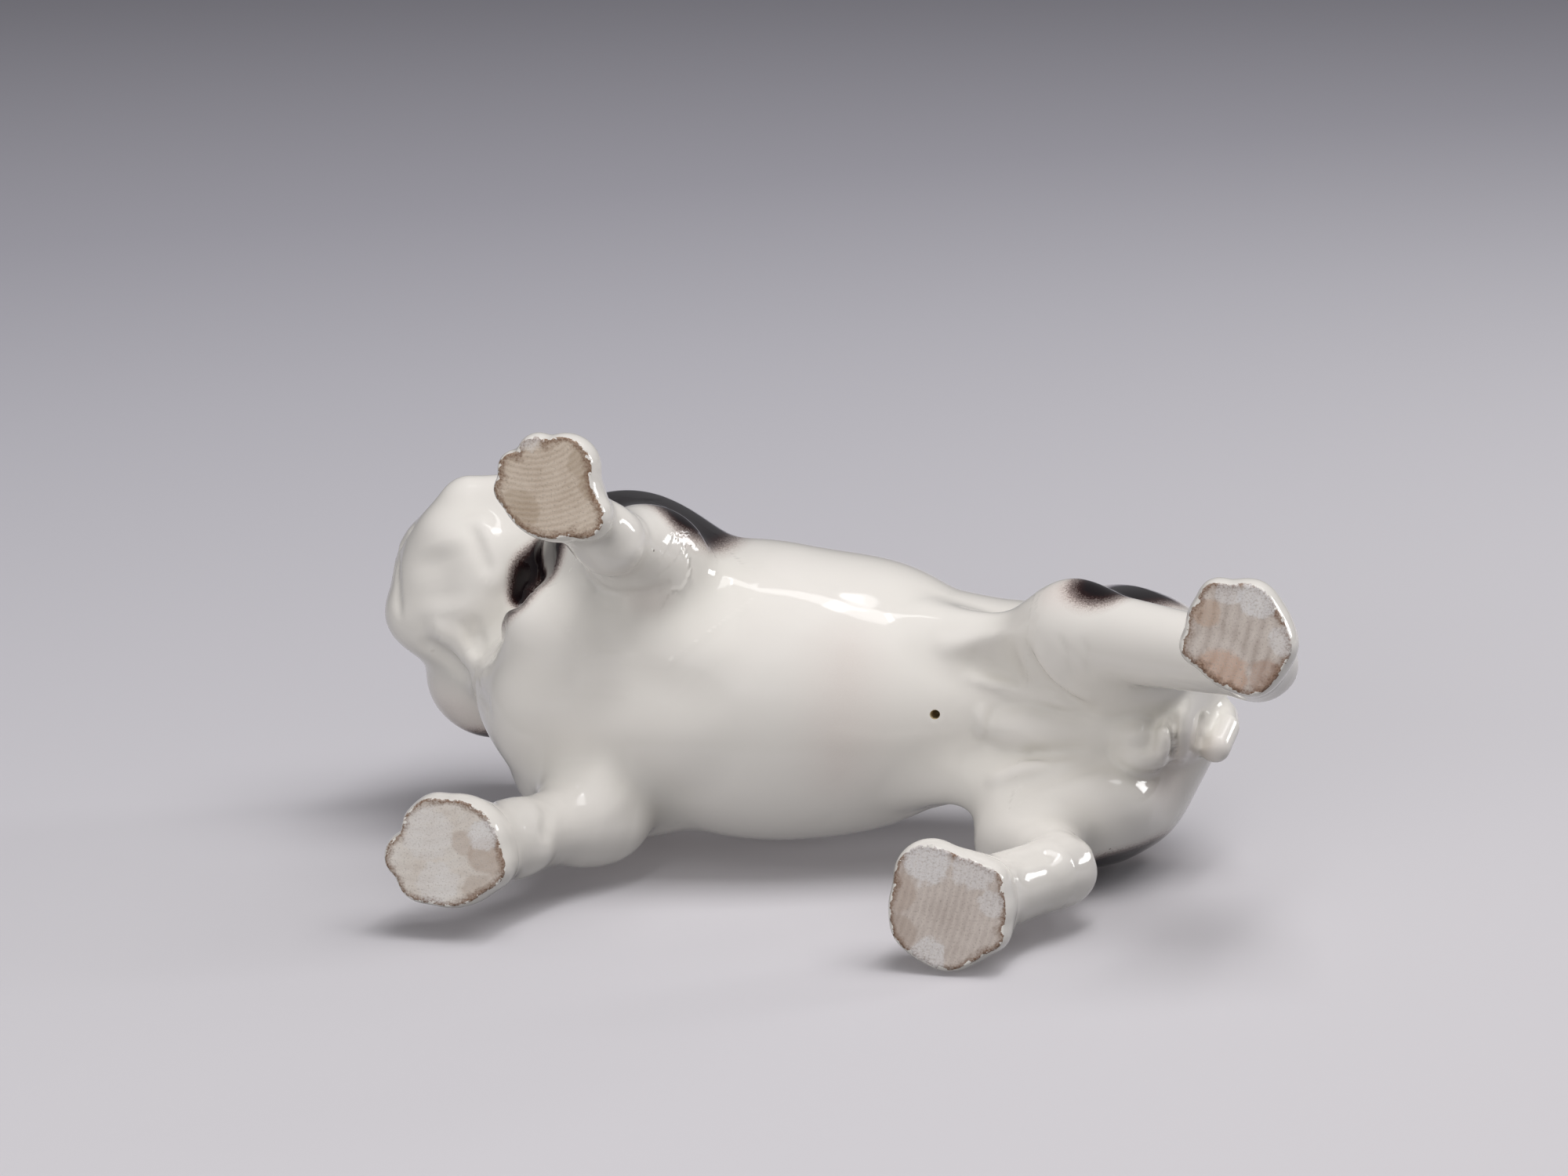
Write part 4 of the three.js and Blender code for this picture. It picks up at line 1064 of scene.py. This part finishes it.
def sheet(name, half, matrix, material):
    """A square sheet of the stage's paper. Half is from its middle to its side, in metres."""
    bm = bmesh.new()
    bmesh.ops.create_grid(bm, x_segments=1, y_segments=1, size=half, matrix=matrix)
    body = placed(name, bpy.data.meshes.new(name))
    bm.to_mesh(body.data)
    bm.free()
    body.data.materials.append(material)


def build_stage():
    """Lays the paper, and sets the camera, the lamps and the studio's dim light."""
    scene = bpy.context.scene
    right, up, near = table_axes()
    lens = bpy.data.cameras.new("camera")
    lens.sensor_width, lens.lens = 36, 90
    scene.camera = placed("camera", lens)
    scene.camera.matrix_world = facing(CAMERA_PLACE, CAMERA_RIGHT, CAMERA_UP, CAMERA_BACK)

    sheet("table", 6, facing(up * table_height(), right, -near, up), one_sided("table_paper", table_colour_with_painted_falloff))
    sheet("floor", 3, Matrix.Translation((0, 0, -FLOOR_GAP)), one_sided("floor_paper", floor_colour))

    for name, (place, along, size, power) in LAMPS.items():
        place, along = (right * a + up * b + near * c for a, b, c in (place, along))
        lamp(name, FIGURE_MIDDLE + place, along, size, power)

    world = bpy.data.worlds.new("studio")
    world.use_nodes = True
    background = world.node_tree.nodes["Background"]
    background.inputs["Color"].default_value = linear("#E4E3E8")
    background.inputs["Strength"].default_value = 0.17
    scene.world = world
    scene.view_settings.view_transform = "Standard"


# The add-on

class DogSizes(bpy.types.PropertyGroup):
    """Sizes of the figure's finish."""
    skin_grid: bpy.props.FloatProperty(
        name="Skin grid", description="Spacing of the skin's vertices", default=0.0008, unit="LENGTH")
    vent_diameter: bpy.props.FloatProperty(
        name="Vent diameter", description="Width of the hole in the belly", default=0.0018, unit="LENGTH")


class DogColours(bpy.types.PropertyGroup):
    """Colours of the glaze and the paint."""
    glaze: bpy.props.FloatVectorProperty(
        name="Glaze", description="White of the glazed clay", default=linear("#F1ECE6")[:3], subtype="COLOR")
    # The pooled glaze's tint, which also serves as the painted shade of the creases
    pooled_glaze_and_crease_shade: bpy.props.FloatVectorProperty(
        name="Pooled glaze", description="Where the glaze is thick in creases", default=linear("#BFBDB0")[:3],
        subtype="COLOR")
    paint: bpy.props.FloatVectorProperty(
        name="Paint", description="Middle of the patches", default=linear("#171012")[:3], subtype="COLOR")


def cast(*names):
    """Makes castings, glazes them and lets them stand for their solids."""
    for name in names:
        body = piece_of(name)
        paint = painted_face if name == "head" else None
        body.data.materials.append(glazed_white_earthenware(name + "_glaze", paint, SOLES.get(name)))
        if name == "trunk":
            body.data.materials.append(raw_earthenware())
        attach(body, "root")
        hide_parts(name)


class DOG_OT_skin(bpy.types.Operator):
    """Models the whole figure as one skin of clay"""
    bl_idname = "dog.skin"
    bl_label = "Model the Clay"

    def execute(self, context):
        model_skin()
        return {"FINISHED"}


class DOG_OT_trunk(bpy.types.Operator):
    """Casts the trunk, with its vent"""
    bl_idname = "dog.trunk"
    bl_label = "Cast the Trunk"

    def execute(self, context):
        cast("trunk")
        return {"FINISHED"}


class DOG_OT_head(bpy.types.Operator):
    """Casts the head and paints its face"""
    bl_idname = "dog.head"
    bl_label = "Cast the Head"

    def execute(self, context):
        cast("head")
        return {"FINISHED"}


class DOG_OT_ears(bpy.types.Operator):
    """Casts the two ears"""
    bl_idname = "dog.ears"
    bl_label = "Cast the Ears"

    def execute(self, context):
        cast("left_ear", "right_ear")
        return {"FINISHED"}


class DOG_OT_legs(bpy.types.Operator):
    """Casts the four legs, with their bare soles"""
    bl_idname = "dog.legs"
    bl_label = "Cast the Legs"

    def execute(self, context):
        cast("left_front_leg", "right_front_leg", "left_hind_leg", "right_hind_leg")
        return {"FINISHED"}


class DOG_OT_tail(bpy.types.Operator):
    """Casts the tail"""
    bl_idname = "dog.tail"
    bl_label = "Cast the Tail"

    def execute(self, context):
        cast("tail")
        return {"FINISHED"}


class DOG_OT_stage(bpy.types.Operator):
    """Lays the table and the floor, and sets the lamps and the camera"""
    bl_idname = "dog.stage"
    bl_label = "Set the Stage"

    def execute(self, context):
        build_stage()
        return {"FINISHED"}


class DOG_PT_statuette(bpy.types.Panel):
    """Lists the figure's sizes, colours and pieces"""
    bl_idname = "DOG_PT_statuette"
    bl_label = "Dog Statuette"
    bl_space_type = "VIEW_3D"
    bl_region_type = "UI"
    bl_category = "Dog Statuette"

    def draw(self, context):
        for group in (context.scene.dog_sizes, context.scene.dog_colours):
            for name in group.__annotations__:
                self.layout.prop(group, name)
        for operator in OPERATORS:
            self.layout.operator(operator.bl_idname)


OPERATORS = (DOG_OT_skin, DOG_OT_trunk, DOG_OT_head, DOG_OT_ears, DOG_OT_legs, DOG_OT_tail, DOG_OT_stage)
CLASSES = (DogSizes, DogColours, *OPERATORS, DOG_PT_statuette)


def register():
    for one in CLASSES:
        bpy.utils.register_class(one)
    bpy.types.Scene.dog_sizes = bpy.props.PointerProperty(type=DogSizes)
    bpy.types.Scene.dog_colours = bpy.props.PointerProperty(type=DogColours)


def unregister():
    del bpy.types.Scene.dog_colours
    del bpy.types.Scene.dog_sizes
    for one in reversed(CLASSES):
        bpy.utils.unregister_class(one)


def main():
    register()
    bpy.ops.dog.skin()
    bpy.ops.dog.trunk()
    bpy.ops.dog.head()
    bpy.ops.dog.ears()
    bpy.ops.dog.legs()
    bpy.ops.dog.tail()
    bpy.ops.dog.stage()


if __name__ == "__main__":
    main()
